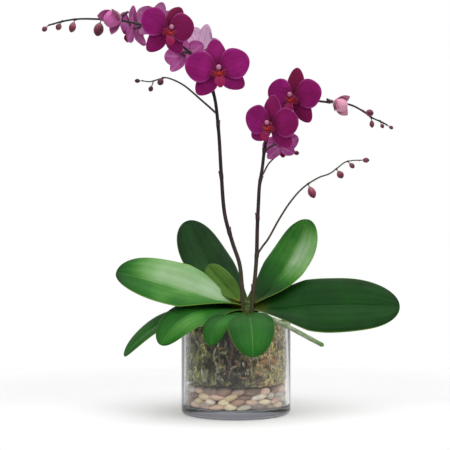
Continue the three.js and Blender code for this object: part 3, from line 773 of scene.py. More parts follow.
# %% Room for every pebble
def settled(count, width, height, room, draw, rounds=240):
    """Spots on an unrolled wall, pushed apart until each has its own oval of room."""
    spots = draw.random((count, 2)) * (width, height)
    not_itself = np.eye(count) * 9
    for _ in range(rounds):
        gap = spots[:, None] - spots[None]
        gap[..., 0] -= width * np.round(gap[..., 0] / width)
        far = np.hypot(gap[..., 0] / room[0], gap[..., 1] / room[1]) + not_itself
        push = gap * (np.clip(2 - far, 0, None) / far)[..., None]
        spots += 0.2 * push.sum(axis=1)
        spots[:, 1] = np.clip(spots[:, 1], 0, height)
    return spots


WALL = BORE_RADIUS - 0.6
# the lowest and highest point of the stones
BED = (GLASS_FLOOR + 0.3, 41)
UNROLLED_RADIUS = 64
WALL_STONES = 84
# half the length, width and height of a stone, from the least to the most
WALL_STONE = ((8, 13), (6, 8), (4.4, 5.8))
INNER_STONE = ((8, 11), (7.5, 9), (4.6, 6))
STONE_ROOM = (9.6, 4.3)
LOWEST_STONE = 4.5
WALL_EASE = 1.06
FLOOR_EASE = 1.02
draw = np.random.default_rng(11)
unrolled_wall = (2 * math.pi * UNROLLED_RADIUS, BED[1] - BED[0] - 2 * LOWEST_STONE)
places, headings, halves, spins = [], [], [], []
for x, z in settled(WALL_STONES, *unrolled_wall, STONE_ROOM, draw):
    turn = x / UNROLLED_RADIUS
    half = np.array([draw.uniform(*limits) for limits in WALL_STONE])
    off_the_curve = half[0] ** 2 / 2 / WALL * 0.6
    reach = WALL - half[1] * WALL_EASE - draw.uniform(0, 1.5) - off_the_curve
    height = max(BED[0] + half[2] * FLOOR_EASE, BED[0] + LOWEST_STONE + z)
    lean = draw.normal(0, 0.16)
    places.append(on_circle(reach, turn, height))
    headings.append((-lean * math.sin(turn), lean * math.cos(turn), 1))
    halves.append(half)
    spins.append(turn + math.pi / 2)
print("stones against the glass:", len(places))

# %% Pebbles
INNER_RINGS = ((46, 16), (29, 9), (10, 4))
COURSE_HEIGHT = 9.5
for ring_radius, how_many in INNER_RINGS:
    for k in range(how_many):
        for course in (0, 1, 2):
            turn = (k + draw.uniform(-0.2, 0.2) + course / 2) / how_many * 2 * math.pi
            half = np.array([draw.uniform(*limits) for limits in INNER_STONE])
            height = BED[0] + half[2] * FLOOR_EASE + COURSE_HEIGHT * course + draw.uniform(0, 1)
            places.append(on_circle(ring_radius, turn, height))
            headings.append((draw.normal(0, 0.1), draw.normal(0, 0.1), 1))
            halves.append(half)
            spins.append(draw.uniform(0, math.pi))

bpy.ops.mesh.primitive_ico_sphere_add(subdivisions=3, radius=1)
stone_shape = bpy.context.object
seed = copy_points("pebble_points", places, headings, halves, spins, tint=draw.random(len(places)))
look = dict(Shape=stone_shape, Dents=0.0035, Dent_Scale=70.0, Finish=pebble_material)
pebbles = grow("river_pebbles", seed, copies_tree, **look)
bpy.data.objects.remove(stone_shape)


# %% Stones that stay off the glass
PEBBLE_GAP = 0.25


def keep_inside(piece, radius, floor=None):
    """Draws in the points of a piece that would cut into the glass."""
    count = len(piece.data.vertices)
    points = np.zeros(count * 3)
    piece.data.vertices.foreach_get("co", points)
    points = points.reshape(-1, 3)
    reach = np.hypot(points[:, 0], points[:, 1])
    points[:, :2] *= np.minimum(1, radius * MM / np.maximum(reach, 1e-6))[:, None]
    if floor is not None:
        points[:, 2] = np.maximum(points[:, 2], floor * MM)
    piece.data.vertices.foreach_set("co", points.ravel())
    piece.data.update()


keep_inside(pebbles, BORE_RADIUS - PEBBLE_GAP, floor=BED[0])
hand_in(pebbles, "pebble", "pebbles")

# %% [markdown]
# ## The root ball and its bark
#
# Under the crown the orchid's roots hold a ball of damp bark chips. Most of it is hidden by moss, but chips
# show round the crown and, with a few thick roots, against the glass. The ball is a turned shape with a rough
# skin. The chips are split wedges with a bevel, put on it and on the inside of the glass by the copies tree.

# %% Bark finish
bark = Finish("damp_bark", Specular_IOR_Level=0.3)
grain = bark.noise(420, 4, stretch=(1, 1, 0.3))
patch = bark.noise(110, 3)
base = bark.ramp(
    bark.tone("tint") * 0.7 + patch * 0.4,
    (0.0, (58, 36, 30)),
    (0.35, (96, 62, 44)),
    (0.6, (140, 98, 62)),
    (0.8, (176, 132, 88)),
    (1.0, (204, 168, 120)),
)
base = bark.glaze(base, (grain.rise(0.45, 0.7) * 0.5, (50, 32, 24)))
bark_material = bark.coat_with(base, 0.62 + grain * 0.25, grain * 2 + patch, depth=0.8)


# %% Root ball
BALL_TOP = 121
BALL_PROFILE = [
    (0, 42.4), (30, 42.4), (42, 42.8), (47, 47), (49.5, 56), (50, 70), (50, 84), (49.6, 98), (48.6, 107),
    (45, 113), (39, 117.6), (30, 119.6), (18, 120.4), (8, 120.8), (0, 121),
]


def smooth_profile(profile, steps):
    """A profile with its bends rounded."""
    flat = np.array([(r, z, 0) for r, z in profile], float)
    return smooth_line(flat, steps)[:, :2]


def relief(turn, z):
    """Uneven packing: a few waves round and up the glass."""
    return np.sin(5 * turn + z / 9) * 0.5 + np.sin(9 * turn - z / 6) * 0.3 + np.sin(13 * turn + z / 4) * 0.2


def lumpy_ball(radius, height, turn):
    rough = 1.3 * relief(turn, height) + 0.8 * np.sin(31 * turn + height) * np.sin(height / 2.1)
    inside = np.clip(radius / 30, 0, 1)
    return np.maximum(0, radius + inside * (rough - 1.6)), height - 0.6 * (radius > 0)


clay = Clay()
clay.press(*turned_shape(smooth_profile(BALL_PROFILE, steps=60), segments=96, push=lumpy_ball), tint=0.15)
ball = clay.fire("bark_root_ball", bark_material)
hand_in(ball, "bark", "root_ball")


# %% The shape of a bark chip
def chip_shape(name):
    """One split chip: a wedge with broken ends."""
    made = bmesh.new()
    corners = [
        (-1, -0.5, -0.2), (0.9, -0.62, -0.3), (1.05, 0.3, -0.24), (-0.8, 0.55, -0.28),
        (-0.86, -0.4, 0.24), (0.7, -0.5, 0.34), (0.94, 0.2, 0.2), (-0.7, 0.42, 0.3),
    ]
    verts = [made.verts.new(c) for c in corners]
    for face in ((0, 3, 2, 1), (4, 5, 6, 7), (0, 1, 5, 4), (1, 2, 6, 5), (2, 3, 7, 6), (3, 0, 4, 7)):
        made.faces.new([verts[i] for i in face])
    bmesh.ops.bevel(made, geom=made.edges[:], offset=0.09, segments=1, affect="EDGES")
    mesh = bpy.data.meshes.new(name)
    made.to_mesh(mesh)
    made.free()
    return new_object(name, mesh)


# %% Bark chips
GLASS_GAP = 0.4
CHIP_LENGTH = (5, 9.5)
CHIP_WIDTH = (0.6, 0.9)
CHIP_THICKNESS = 0.42
TOP_CHIPS = 64
TOP_CHIPS_X = 9
TOP_CHIPS_INNER = 13
TOP_CHIPS_SPREAD = 17
LOOSE_CHIPS = 40
CHIP_WALL = 69
LOOSE_CHIP_WALL = 68.6
LOOSE_CHIP_HEIGHTS = (48, 119)
# the angle and height of each cluster on the glass, with their spread, and how many chips it has
CHIP_CLUSTERS = [(-54, 8, 75, 9, 22), (-76, 5, 94, 9, 14), (140, 10, 90, 12, 20), (40, 10, 70, 10, 14)]
draw = np.random.default_rng(23)
places, headings, sizes, spins = [], [], [], []
for _ in range(TOP_CHIPS):
    turn = draw.uniform(0, 2 * math.pi)
    reach = TOP_CHIPS_INNER + TOP_CHIPS_SPREAD * math.sqrt(draw.random())
    x, y, z = on_circle(reach, turn, BALL_TOP + draw.uniform(-0.4, 2.2))
    places.append((TOP_CHIPS_X + x, y, z))
    headings.append((draw.normal(0, 0.35), draw.normal(0, 0.35), 1))
for angle, angle_spread, height, height_spread, count in CHIP_CLUSTERS:
    for _ in range(count):
        turn = math.radians(draw.normal(angle, angle_spread))
        places.append(on_circle(CHIP_WALL, turn, draw.normal(height, height_spread)))
        headings.append(on_circle(1, turn, draw.normal(0, 0.3)))
for _ in range(LOOSE_CHIPS):
    turn = draw.uniform(0, 2 * math.pi)
    places.append(on_circle(LOOSE_CHIP_WALL, turn, draw.uniform(*LOOSE_CHIP_HEIGHTS)))
    headings.append(on_circle(1, turn, draw.normal(0, 0.3)))
for _ in places:
    long = draw.uniform(*CHIP_LENGTH)
    sizes.append((long, long * draw.uniform(*CHIP_WIDTH), long * CHIP_THICKNESS))
    spins.append(draw.uniform(0, 2 * math.pi))
tints = 0.25 + 0.75 * draw.random(len(places))
seed = copy_points("chip_points", places, headings, sizes, spins, tint=tints)
shape = chip_shape("chip")
look = dict(Shape=shape, Dents=0.0012, Dent_Scale=160.0, Finish=bark_material)
chips = grow("bark_chips", seed, copies_tree, **look)
bpy.data.objects.remove(shape)
keep_inside(chips, BORE_RADIUS - GLASS_GAP)
hand_in(chips, "bark")

# %% [markdown]
# ## The moss
#
# Long-fibred moss is packed between the ball and the glass and mounded at the rim. Real moss is thousands of
# fibres, so a turned body gives the mass, drawn in a little from the glass, and the strand tree lays fibres
# over all of it. Hair curves would be simpler, but they don't leave Blender, so each fibre is a thin tube.

# %% Moss finishes
MOSS_COLOURS = (
    (0.0, (34, 28, 14)),
    (0.2, (72, 74, 26)),
    (0.4, (116, 116, 54)),
    (0.6, (80, 78, 40)),
    (0.78, (156, 142, 88)),
    (0.9, (50, 34, 22)),
    (1.0, (184, 170, 126)),
)


def moss_finish(name, shade_under_fibres):
    """Moss in patches: grey-green on the left, darker down the middle, and dry and pale on the right."""
    moss = Finish(name, Specular_IOR_Level=0.0)
    patch = moss.noise(60, 2)
    blotch = moss.noise(105, 2, stretch=(1, 1, 0.6))
    chip = moss.noise(170, 1, stretch=(1, 1, 0.7))
    streaks = moss.noise(190, 2, stretch=(1, 1, 0.3))
    fine = moss.noise(700, 3)
    side = moss.axis("X")
    left = 1 - side.rise(-0.064, -0.024)
    right = side.rise(0.01, 0.035)
    dark_middle = (1 - abs(side + 0.006).rise(0.006, 0.03)) * patch.rise(0.3, 0.5)
    base = moss.ramp(moss.tone("tint") * 0.3 + patch * 0.75, *MOSS_COLOURS)
    base = moss.glaze(
        base,
        (left * 0.75, (192, 196, 118)),
        (right * 0.9, (255, 226, 160)),
        (blotch.rise(0.53, 0.59) * (0.9 - right * 0.4), (44, 34, 8)),
        (blotch.rise(0.47, 0.4) * 0.6, (238, 222, 136)),
        (streaks.rise(0.52, 0.62) * 0.35, (36, 30, 12)),
        (streaks.rise(0.44, 0.36) * 0.25, (210, 196, 142)),
        (chip.rise(0.59, 0.64) * 0.8, (234, 226, 190)),
        (chip.rise(0.4, 0.35) * 0.8, (46, 32, 14)),
        (dark_middle * 0.8, (34, 22, 10)),
        # painted shade: the moss body under the fibres is darkened
        (shade_under_fibres, (24, 20, 10)),
    )
    return moss.coat_with(base, 0.75 + fine * 0.2, fine + patch, depth=0.5)


# the moss body gets painted shade, as it lies in the shade of the fibres over it
moss_body_finish = moss_finish("moss_body", shade_under_fibres=0.7)
moss_strand_finish = moss_finish("moss_strands", shade_under_fibres=0.0)

# %% Moss body
MOSS_PROFILE = [
    (51, 47), (58, 45.4), (66, 45), (70.6, 48), (71.5, 54), (71.5, 66), (71.5, 80), (71.5, 94), (71.5, 106),
    (71.5, 115), (70.4, 121), (67, 126.4), (60, 129), (51, 130), (42, 130.8), (34, 130.6), (30.8, 127.5),
    (30.4, 123), (34, 121.4), (41.4, 120.2), (47, 115.5), (50.8, 107.6), (51.2, 96), (51.2, 80), (51.2, 60),
    (51, 47),
]


def packed_moss(radius, height, turn):
    """Moss is pressed flat by the glass, with hollows, and loose where it mounds over the rim."""
    on_glass = np.clip((radius - 64) / 6, 0, 1)
    on_top = np.clip((height - 122) / 5, 0, 1)
    tufts = np.sin(23 * turn + height / 3) * np.sin(height / 2.6 + 3 * turn)
    tufts = tufts + np.sin(41 * turn - height / 5) * 0.5
    hollow = np.maximum(0.3, 0.8 + 0.7 * (1 - relief(turn, height)) + 0.7 * tufts)
    return radius - on_glass * hollow, height + on_top * (1.4 * relief(turn, radius) + 0.8 * tufts - 1)


clay = Clay()
clay.press(*turned_shape(smooth_profile(MOSS_PROFILE, steps=110), segments=200, push=packed_moss), tint=0.3)
moss_body = clay.fire("moss_body", moss_body_finish)
print("moss body points:", len(moss_body.data.vertices))


# %% Moss fibres
def strand_object(name, length, radius):
    """One curved fibre that lies along X, thin at both ends."""
    share = np.linspace(0, 1, 6)
    line = np.stack([(share - 0.5) * length, 0.12 * length * np.sin(share * math.pi), share * 0], axis=1)
    clay = Clay()
    clay.press(*swept_shape(line, radius * (0.35 + 0.65 * np.sin(math.pi * share)), sides=4))
    return clay.fire(name)


FIBRE_LENGTH = 12
FIBRE_RADIUS = 0.46
strand = strand_object("strand", FIBRE_LENGTH, FIBRE_RADIUS)
seed = bpy.data.objects.new("moss_seed", moss_body.data.copy())
look = dict(Strand=strand, Density=46000.0, Lift=0.0, Curl=0.007, Finish=moss_strand_finish)
strands = grow("moss_fibres", seed, strand_tree, **look)
bpy.data.objects.remove(strand)
keep_inside(strands, BORE_RADIUS - GLASS_GAP)


def join(name, *pieces):
    """Makes one piece of several, each with its own finish."""
    with bpy.context.temp_override(active_object=pieces[0], selected_editable_objects=list(pieces)):
        bpy.ops.object.join()
    pieces[0].name = name
    pieces[0].data.name = name
    return pieces[0]


moss_piece = join("packed_moss", moss_body, strands)
hand_in(moss_piece, "moss", "moss")

# %% [markdown]
#
# A few thick roots wander down through the moss and press flat against the glass, pale grey and brown. Each
# is a smooth line that drifts round the wall, and the tube tree gives them all their thickness.


# %% Old root finish
root = Finish("old_root", Specular_IOR_Level=0.3)
cloud = root.noise(160, 3)
fine = root.noise(900, 3)
base = root.ramp(
    root.tone("tint") * 0.75 + cloud * 0.3,
    (0.0, (66, 42, 44)),
    (0.4, (112, 84, 66)),
    (0.7, (170, 160, 138)),
    (1.0, (206, 204, 192)),
)
root_material = root.coat_with(base, 0.6 + fine * 0.2, fine + cloud, depth=0.3)


# %% Old roots
def line_seed(name, lines, radii, **tones):
    """Several lines as one mesh, each point with its own thickness."""
    edges, start = [], 0
    for line in lines:
        edges += [(start + k, start + k + 1) for k in range(len(line) - 1)]
        start += len(line)
    given = {tone: np.concatenate(value) for tone, value in tones.items()}
    return seed_object(name, np.concatenate(lines), edges, thickness=np.concatenate(radii) * MM, **given)


WANDERING_ROOTS = 30
ROOTS_IN_FRONT = 20
ROOT_STEPS = 8
ROOT_START = (86, 121)
ROOT_END = (46, 62)
ROOT_RADIUS = (1.1, 2.4)
# the angle and radius of three dark roots that run straight down the front
STRAIGHT_ROOTS = ((-97, 4.2), (-92, 3.0), (-66, 2.4))
STRAIGHT_REACH = 67
DARK = 0.05
lines, radii, tints = [], [], []


def add_root(reach, turns, heights, radius, thinning, ripple, waves, tint):
    """One root on the inside of the glass, thinner towards its foot, with a rounded end."""
    line = smooth_line(np.stack([reach * np.cos(turns), reach * np.sin(turns), heights], axis=1), steps=60)
    share = np.linspace(0, 1, len(line))
    blunt = np.minimum(1, (1.02 - share) * 14)
    lines.append(line)
    radii.append(radius * (1 - thinning * share) * blunt * (1 + ripple * np.sin(share * waves)))
    tints.append(np.full(len(line), tint))


draw = np.random.default_rng(31)
for k in range(WANDERING_ROOTS):
    in_front = k < ROOTS_IN_FRONT
    turn = math.radians(draw.uniform(-165, -15)) if in_front else draw.uniform(0, 2 * math.pi)
    start = draw.uniform(*ROOT_START)
    heights = np.linspace(start, draw.uniform(*ROOT_END), ROOT_STEPS)
    turns = turn + np.cumsum(draw.normal(0, 0.075, ROOT_STEPS))
    radius = draw.uniform(*ROOT_RADIUS)
    reach = BORE_RADIUS - 0.5 - radius + draw.uniform(-1.6, 0, ROOT_STEPS)
    add_root(reach, turns, heights, radius, thinning=0.35, ripple=0.05, waves=60, tint=draw.random())
for angle, radius in STRAIGHT_ROOTS:
    turns = math.radians(angle) + 0.04 * np.sin(np.linspace(0, 5, ROOT_STEPS))
    heights = np.linspace(119, 52, ROOT_STEPS)
    add_root(STRAIGHT_REACH, turns, heights, radius, thinning=0.3, ripple=0.08, waves=30, tint=DARK)
seed = line_seed("root_lines", lines, radii, tint=tints)
roots = grow("roots_in_the_moss", seed, tube_tree, Sides=10, Finish=root_material)
keep_inside(roots, BORE_RADIUS - GLASS_GAP)
hand_in(roots, "root")

# %% [markdown]
# ## Leaves
#
# A moth orchid's leaf is a thick strap with a channel down its middle, a keel under it and a fine pale
# margin. It leaves the crown at one slope and bends towards another. The surface is that growth rule worked
# out on a fine grid, then thickened, which keeps each leaf on its solid one. Sculpting would lose the rule.

# %% Leaf finish
leaf_finish = Finish("waxy_leaf", Specular_IOR_Level=0.1, Coat_Roughness=0.3, Coat_Weight=0.02)
along, across = leaf_finish.blade_map()
upper = leaf_finish.tone("upper")
green = leaf_finish.tone("green")
cloud = leaf_finish.noise(28, 2)
fleck = leaf_finish.noise(420, 2)
streak = leaf_finish.noise(60, 2)
fine_lines = (across * 95 + streak * 5).sine()
broad_lines = (across * 21 + streak * 3).sine()
rib = 1 - abs(across).rise(0.0, 0.05)
yellow_foot = (1 - along.rise(0.0, 0.14)) * (green.rise(0.0, 0.5) * 0.6 + 0.2)
# the green tone runs from deep green to a pale sage that is painted sheen, for leaf halves facing the light
top_green_and_sheen = leaf_finish.ramp(
    green + (cloud - 0.5) * 0.3 + fine_lines * 0.015 + broad_lines * 0.018,
    (0.0, (10, 46, 10)),
    (0.2, (18, 68, 14)),
    (0.45, (36, 98, 26)),
    (0.6, (66, 124, 46)),
    (0.8, (110, 154, 92)),
    (1.0, (152, 180, 142)),
)
top_green_and_sheen = leaf_finish.glaze(top_green_and_sheen, (leaf_finish.tone("young"), (82, 114, 44)))
under_green = leaf_finish.mix(fine_lines.rise(-0.4, 1.0) * 0.3, screen(62, 104, 40), screen(88, 128, 58))
# painted shade and highlight in the channel: dark on the darker leaves, pale on the paler ones
rib_shade_and_highlight = leaf_finish.mix(green.rise(0.2, 0.4), screen(12, 44, 10), screen(124, 160, 112))
base = leaf_finish.mix(rib * 0.45, leaf_finish.mix(upper, under_green, top_green_and_sheen), rib_shade_and_highlight)
base = leaf_finish.glaze(
    base,
    (abs(across).rise(0.955, 1.0) * 0.6, (118, 156, 62)),
    (yellow_foot, (132, 128, 44)),
    (fleck.rise(0.66, 0.8) * 0.15, (80, 120, 50)),
)
gloss = 0.38 + fleck * 0.12 + (1 - upper) * 0.12
leaf_relief = fine_lines * 0.25 + broad_lines * 0.4 + fleck * 0.4 + cloud * 3
leaf_material = leaf_finish.coat_with(base, gloss, leaf_relief, depth=0.35)


# %% Leaf growth
def table(columns, rows):
    """Named rows of values, read under the names of their columns."""
    return {name: dict(zip(columns.split(), row)) for name, row in rows.items()}


CROWN_X = 15
CROWN_RADIUS = 12
LEAF_THICKNESS = 2.6
LEAST_THICKNESS = 0.5
KEEL_DEPTH = 0.5
KEEL_WIDTH = 0.08
# base is a height and climb the slope at the foot and at the tip; veer, roll and fold are in degrees too,
# bend says how late a leaf bends, and twist how soon it reaches its roll
LEAVES = table(
    "base turn veer climb bend length width roll fold twist",
    {
        "leaf_right": (142.4, -4, 2, (7, -4.5), 1.2, 203, 45, 54, 9, 1.2),
        "leaf_left": (144, 184, -3, (20.5, 12.5), 1.2, 180, 46, -39, 18, 1),
        "leaf_back_right": (149, 32, -1, (34, 71), 1, 156, 37, 20, 12, 1),
        "leaf_back_left": (150, 134, -9, (33, 56), 1, 171, 35, -22, 8, 1),
        "leaf_young": (154, 152, 0, (44, 44), 1.2, 73, 16, -68, 14, 1),
        "leaf_front": (136.5, -88, 2, (4, -88), 2.4, 136, 32, 0, 5, 1),
        "leaf_front_left": (138, -117, 2, (3, -90), 3, 118, 20, 0, 3, 1),
        "leaf_low_left": (141, -148, -4, (12, -67), 1.6, 142, 30, -26, 8, 1),
        "leaf_lower_left": (139, -171, 2, (8, -57), 1.35, 181, 25, -15, 12, 1),
    },
)
# how pale each leaf is, 0 to 1, on its one half, its other half and at its tip, and how far its foot darkens;
# the paleness is partly the leaf's own green and partly painted sheen, the darkened foot is painted shade
LEAF_GREENS_SHEEN_AND_SHADE = {
    "leaf_right": (0.15, 0.17, 0.12, 0),
    "leaf_left": (0.96, 0.6, 0.24, 0),
    "leaf_back_right": (0.95, 0.48, 0.55, 0.85),
    "leaf_back_left": (0.06, 0.12, 0.04, 0),
    "leaf_young": (0.6, 0.6, 0.6, 0),
    "leaf_front": (0.34, 0.38, 0.42, 0.1),
    "leaf_front_left": (0.3, 0.5, 0.5, 0.3),
    "leaf_low_left": (0.3, 0.6, 0.5, 0.6),
    "leaf_lower_left": (0.44, 0.5, 0.4, 0.3),
}
leaf_rows = 1 - (1 - np.linspace(0, 1, 84)) ** 1.6
half_columns = np.array([0.03, 0.07, 0.12, 0.2, 0.3, 0.42, 0.55, 0.68, 0.79, 0.87, 0.93, 0.97, 0.99, 1.0])
leaf_columns = np.concatenate([-half_columns[::-1], [0], half_columns])


# %% Leaf surface
# a full turn in radians, near enough for a wave
WAVE_TURN = 6.3
FOOT_FOLD = 22
MARGIN_DROOP = 0.16
CHANNEL_DEPTH = 0.9
CHANNEL_WIDTH = 2.0
WAVE_HEIGHT = 1.1


def leaf_width(u):
    """Narrow at the foot, widest halfway and round at the tip."""
    swell = 0.32 + 0.68 * np.sin(math.pi / 2 * np.minimum(1, u / 0.52)) ** 0.9
    return swell * np.sqrt(np.maximum(0, 1 - np.maximum(0, (u - 0.5) / 0.5) ** 2.6))


def leaf_heading(leaf, u):
    """The way a leaf runs at a share of its length, and its own left."""
    climb = np.radians(leaf["climb"][0] + (leaf["climb"][1] - leaf["climb"][0]) * u ** leaf["bend"])
    turn = np.radians(leaf["turn"] + leaf["veer"] * u)
    ahead = np.stack([np.cos(turn) * np.cos(climb), np.sin(turn) * np.cos(climb), np.sin(climb)], axis=-1)
    return ahead, np.stack([-np.sin(turn), np.cos(turn), 0 * turn], axis=-1)


def leaf_spine(leaf, u, steps=160):
    """Points on a leaf's midrib."""
    ahead, _ = leaf_heading(leaf, (np.arange(steps) + 0.5) / steps)
    turn = math.radians(leaf["turn"])
    start = np.array([math.cos(turn), math.sin(turn), 0]) * (CROWN_RADIUS - 2) + (CROWN_X, 0, leaf["base"])
    knots = start + np.concatenate([[[0, 0, 0]], np.cumsum(ahead * leaf["length"] / steps, axis=0)])
    return np.stack([np.interp(u, np.linspace(0, 1, steps + 1), knots[:, k]) for k in range(3)], axis=-1)


def leaf_surface(leaf, rows, columns, waves):
    """The middle surface of a leaf: its spine, folded halves, a channel and a slight wave in its margin."""
    u, v = grid_of(rows, columns)
    ahead, side = leaf_heading(leaf, u)
    up = np.cross(ahead, side)
    roll = np.radians(leaf["roll"]) * np.minimum(1, leaf["twist"] * (0.25 + 1.6 * u))
    across = side * np.cos(roll)[..., None] + up * np.sin(roll)[..., None]
    rise = up * np.cos(roll)[..., None] - side * np.sin(roll)[..., None]
    half = leaf["width"] * leaf_width(u)
    fold = np.radians(leaf["fold"] + FOOT_FOLD * (1 - u) ** 4)
    height = half * (np.abs(v) * np.tan(fold) - MARGIN_DROOP * v**4)
    channel = CHANNEL_DEPTH * np.exp(-((v * half / CHANNEL_WIDTH) ** 2)) * np.minimum(1, 8 * (1 - u))
    wave = WAVE_HEIGHT * v**2 * np.sin(WAVE_TURN * (waves[0] * u + waves[1])) * np.sin(math.pi * u)
    height = height - channel + wave
    reach = half * v * np.cos(fold / 2)
    return leaf_spine(leaf, u) + across * reach[..., None] + rise * height[..., None]


print("leaves:", len(LEAVES), "grid", len(leaf_rows), "by", len(leaf_columns))

# %% Leaves
draw = np.random.default_rng(41)
u, v = grid_of(leaf_rows, leaf_columns)
thin = LEAF_THICKNESS * (1 - 0.6 * v**4) * np.minimum(1, 0.3 + 6 * (1 - u)) * (1 - 0.25 * u)
keeled = np.maximum(LEAST_THICKNESS, thin + KEEL_DEPTH * np.exp(-((v / KEEL_WIDTH) ** 2)))
crossing = 0.5 + 0.5 * np.tanh(v / 0.12)
tipward = np.clip((u - 0.62) / 0.38, 0, 1) ** 1.5
footward = np.clip((0.55 - u) / 0.35, 0, 1)
rimward = 0.16 * np.abs(v) ** 3
for name, leaf in LEAVES.items():
    middle = leaf_surface(leaf, leaf_rows, leaf_columns, draw.random(2) * (0.8, 1) + (1.2, 0))
    points, faces, upper = blade_shape(middle, keeled)
    # painted sheen and shade: each half and the tip get their own paleness, the margins are a little darker,
    # and the foot is darkened as painted shade
    one_half, other_half, tip, foot_shade = LEAF_GREENS_SHEEN_AND_SHADE[name]
    green = (one_half + (other_half - one_half) * crossing) * (1 - tipward) + tip * tipward - rimward
    green = green * (1 - foot_shade * footward)
    tones = dict(upper=upper, green=np.tile(green.ravel(), 2), young=0.8 * (name == "leaf_young"))
    clay = Clay()
    clay.press(points, faces, blade_places(leaf_rows, leaf_columns), **tones)
    hand_in(clay.fire(name + "_blade", leaf_material), "leaf", name)

# %% [markdown]
# ## The crown
#
# The leaf bases clasp a short stem, the crown, and old bases dry to tan at its foot. It could be left as a
# plain peg, since the leaves hide most of it. Stacked sheaths, each leaning to its own side, look right from
# the back and from above as well.

# %% Crown finish
sheath = Finish("leaf_sheath", Specular_IOR_Level=0.4)
streak = sheath.noise(300, 3, stretch=(1, 1, 0.15))
cloud = sheath.noise(90, 2)
base = sheath.mix(sheath.tone("fresh").rise(0.15, 0.75), screen(168, 140, 92), screen(84, 118, 48))
base = sheath.glaze(
    base,
    (streak.rise(0.4, 0.7) * 0.4, (112, 84, 48)),
    (cloud.rise(0.5, 0.75) * 0.3, (190, 170, 120)),
)
sheath_material = sheath.coat_with(base, 0.5 + streak * 0.2, streak * 2 + cloud, depth=0.4)

# %% Crown
CROWN_TOP = 156.5
# the foot, the radius and the side that each sheath leans to
SHEATHS = [
    (122, 11.6, 0), (126, 11.4, 180), (131, 11.2, 25),
    (136, 10.8, 205), (141, 10, 40), (146, 8.4, 190),
]
clay = Clay()
for k, (foot, radius, turn) in enumerate(SHEATHS):
    lean = math.radians(turn)
    profile = [(0, foot), (radius - 1.4, foot), (radius - 0.2, foot + 2), (radius, foot + 7)]
    profile += [(radius - 0.6, foot + 10), (radius - 1.8, foot + 10.4), (0, foot + 8)]

    def leaning(r, z, angle, lean=lean, foot=foot):
        cup = np.cos(angle - lean)
        return r, np.minimum(CROWN_TOP, z + 1.6 * cup * (z > foot + 6))

    points, faces = turned_shape(smooth_profile(profile, steps=24), segments=48, push=leaning)
    clay.press(points + (CROWN_X, 0, 0), faces, fresh=k / 5)
hand_in(clay.fire("crown_sheaths", sheath_material), "leaf", "crown")

# %% [markdown]
# ## The aerial root
#
# One thick root has grown out over the rim on the right. Live roots have a silvery skin and a green, blunt
# growing tip. It is one line with its own thickness, so the tube tree makes it.

# %% Aerial root finish
silver = Finish("aerial_root_skin", Specular_IOR_Level=0.35)
cloud = silver.noise(120, 3)
fine = silver.noise(1100, 3)
skin = silver.mix(cloud.rise(0.35, 0.7), screen(96, 122, 82), screen(150, 162, 134))
skin = silver.glaze(
    skin,
    (silver.tone("along").rise(0.82, 0.97), (86, 120, 60)),
    (fine.rise(0.55, 0.75) * 0.3, (190, 194, 176)),
)
silver_material = silver.coat_with(skin, 0.5 + fine * 0.2, fine + cloud * 2, depth=0.3)

# %% Aerial root
AERIAL_RADIUS = 3.6
AERIAL_LINE = [
    (28.4, -6, 135.8), (33, -22, 136), (46, -52, 135.6), (66, -68, 127.6), (92, -67, 113.6), (118, -62, 99.5),
]
line = smooth_line(AERIAL_LINE, steps=120)
share = np.linspace(0, 1, len(line))
blunt = np.sqrt(np.maximum(0.02, 1 - np.maximum(0, (share - 0.965) / 0.035) ** 2))
uneven = 1 + 0.03 * np.sin(share * 46) + 0.02 * np.sin(share * 91)
radius = AERIAL_RADIUS * (1 - 0.16 * share) * blunt * uneven
seed = line_seed("aerial_line", [line], [radius], along=[share])
aerial = grow("aerial_root_tube", seed, tube_tree, Sides=24, Finish=silver_material)
hand_in(aerial, "root", "aerial_root")

# %% [markdown]
# ## Flower spikes
#
# A spike is a wiry stalk, green-brown at its foot and nearly black-purple higher up, with a swollen joint and
# a small scale leaf every few centimetres. Each flower hangs on a thin stalk of its own. All of them are
# lines with a thickness that swells at the joints, so one run of the tube tree makes a whole spike.

# %% Stalk finish
stalk_finish = Finish("spike_skin", Specular_IOR_Level=0.45)
height = stalk_finish.axis("Z")
streak = stalk_finish.noise(260, 3, stretch=(1, 1, 0.2))
fleck = stalk_finish.noise(900, 2)
skin = stalk_finish.mix(height.rise(0.14, 0.26), screen(70, 68, 40), screen(40, 28, 28))
skin = stalk_finish.glaze(
    skin,
    (height.rise(0.28, 0.4), (34, 18, 26)),
    (streak.rise(0.45, 0.7) * 0.45, (78, 50, 46)),
    (fleck.rise(0.62, 0.75) * 0.3, (122, 100, 84)),
    (stalk_finish.tone("branch") * 0.8, (74, 70, 52)),
    (stalk_finish.tone("own_stalk") * 0.75, (104, 56, 74)),
)
stalk_material = stalk_finish.coat_with(skin, 0.42 + fleck * 0.2, streak + fleck, depth=0.2)

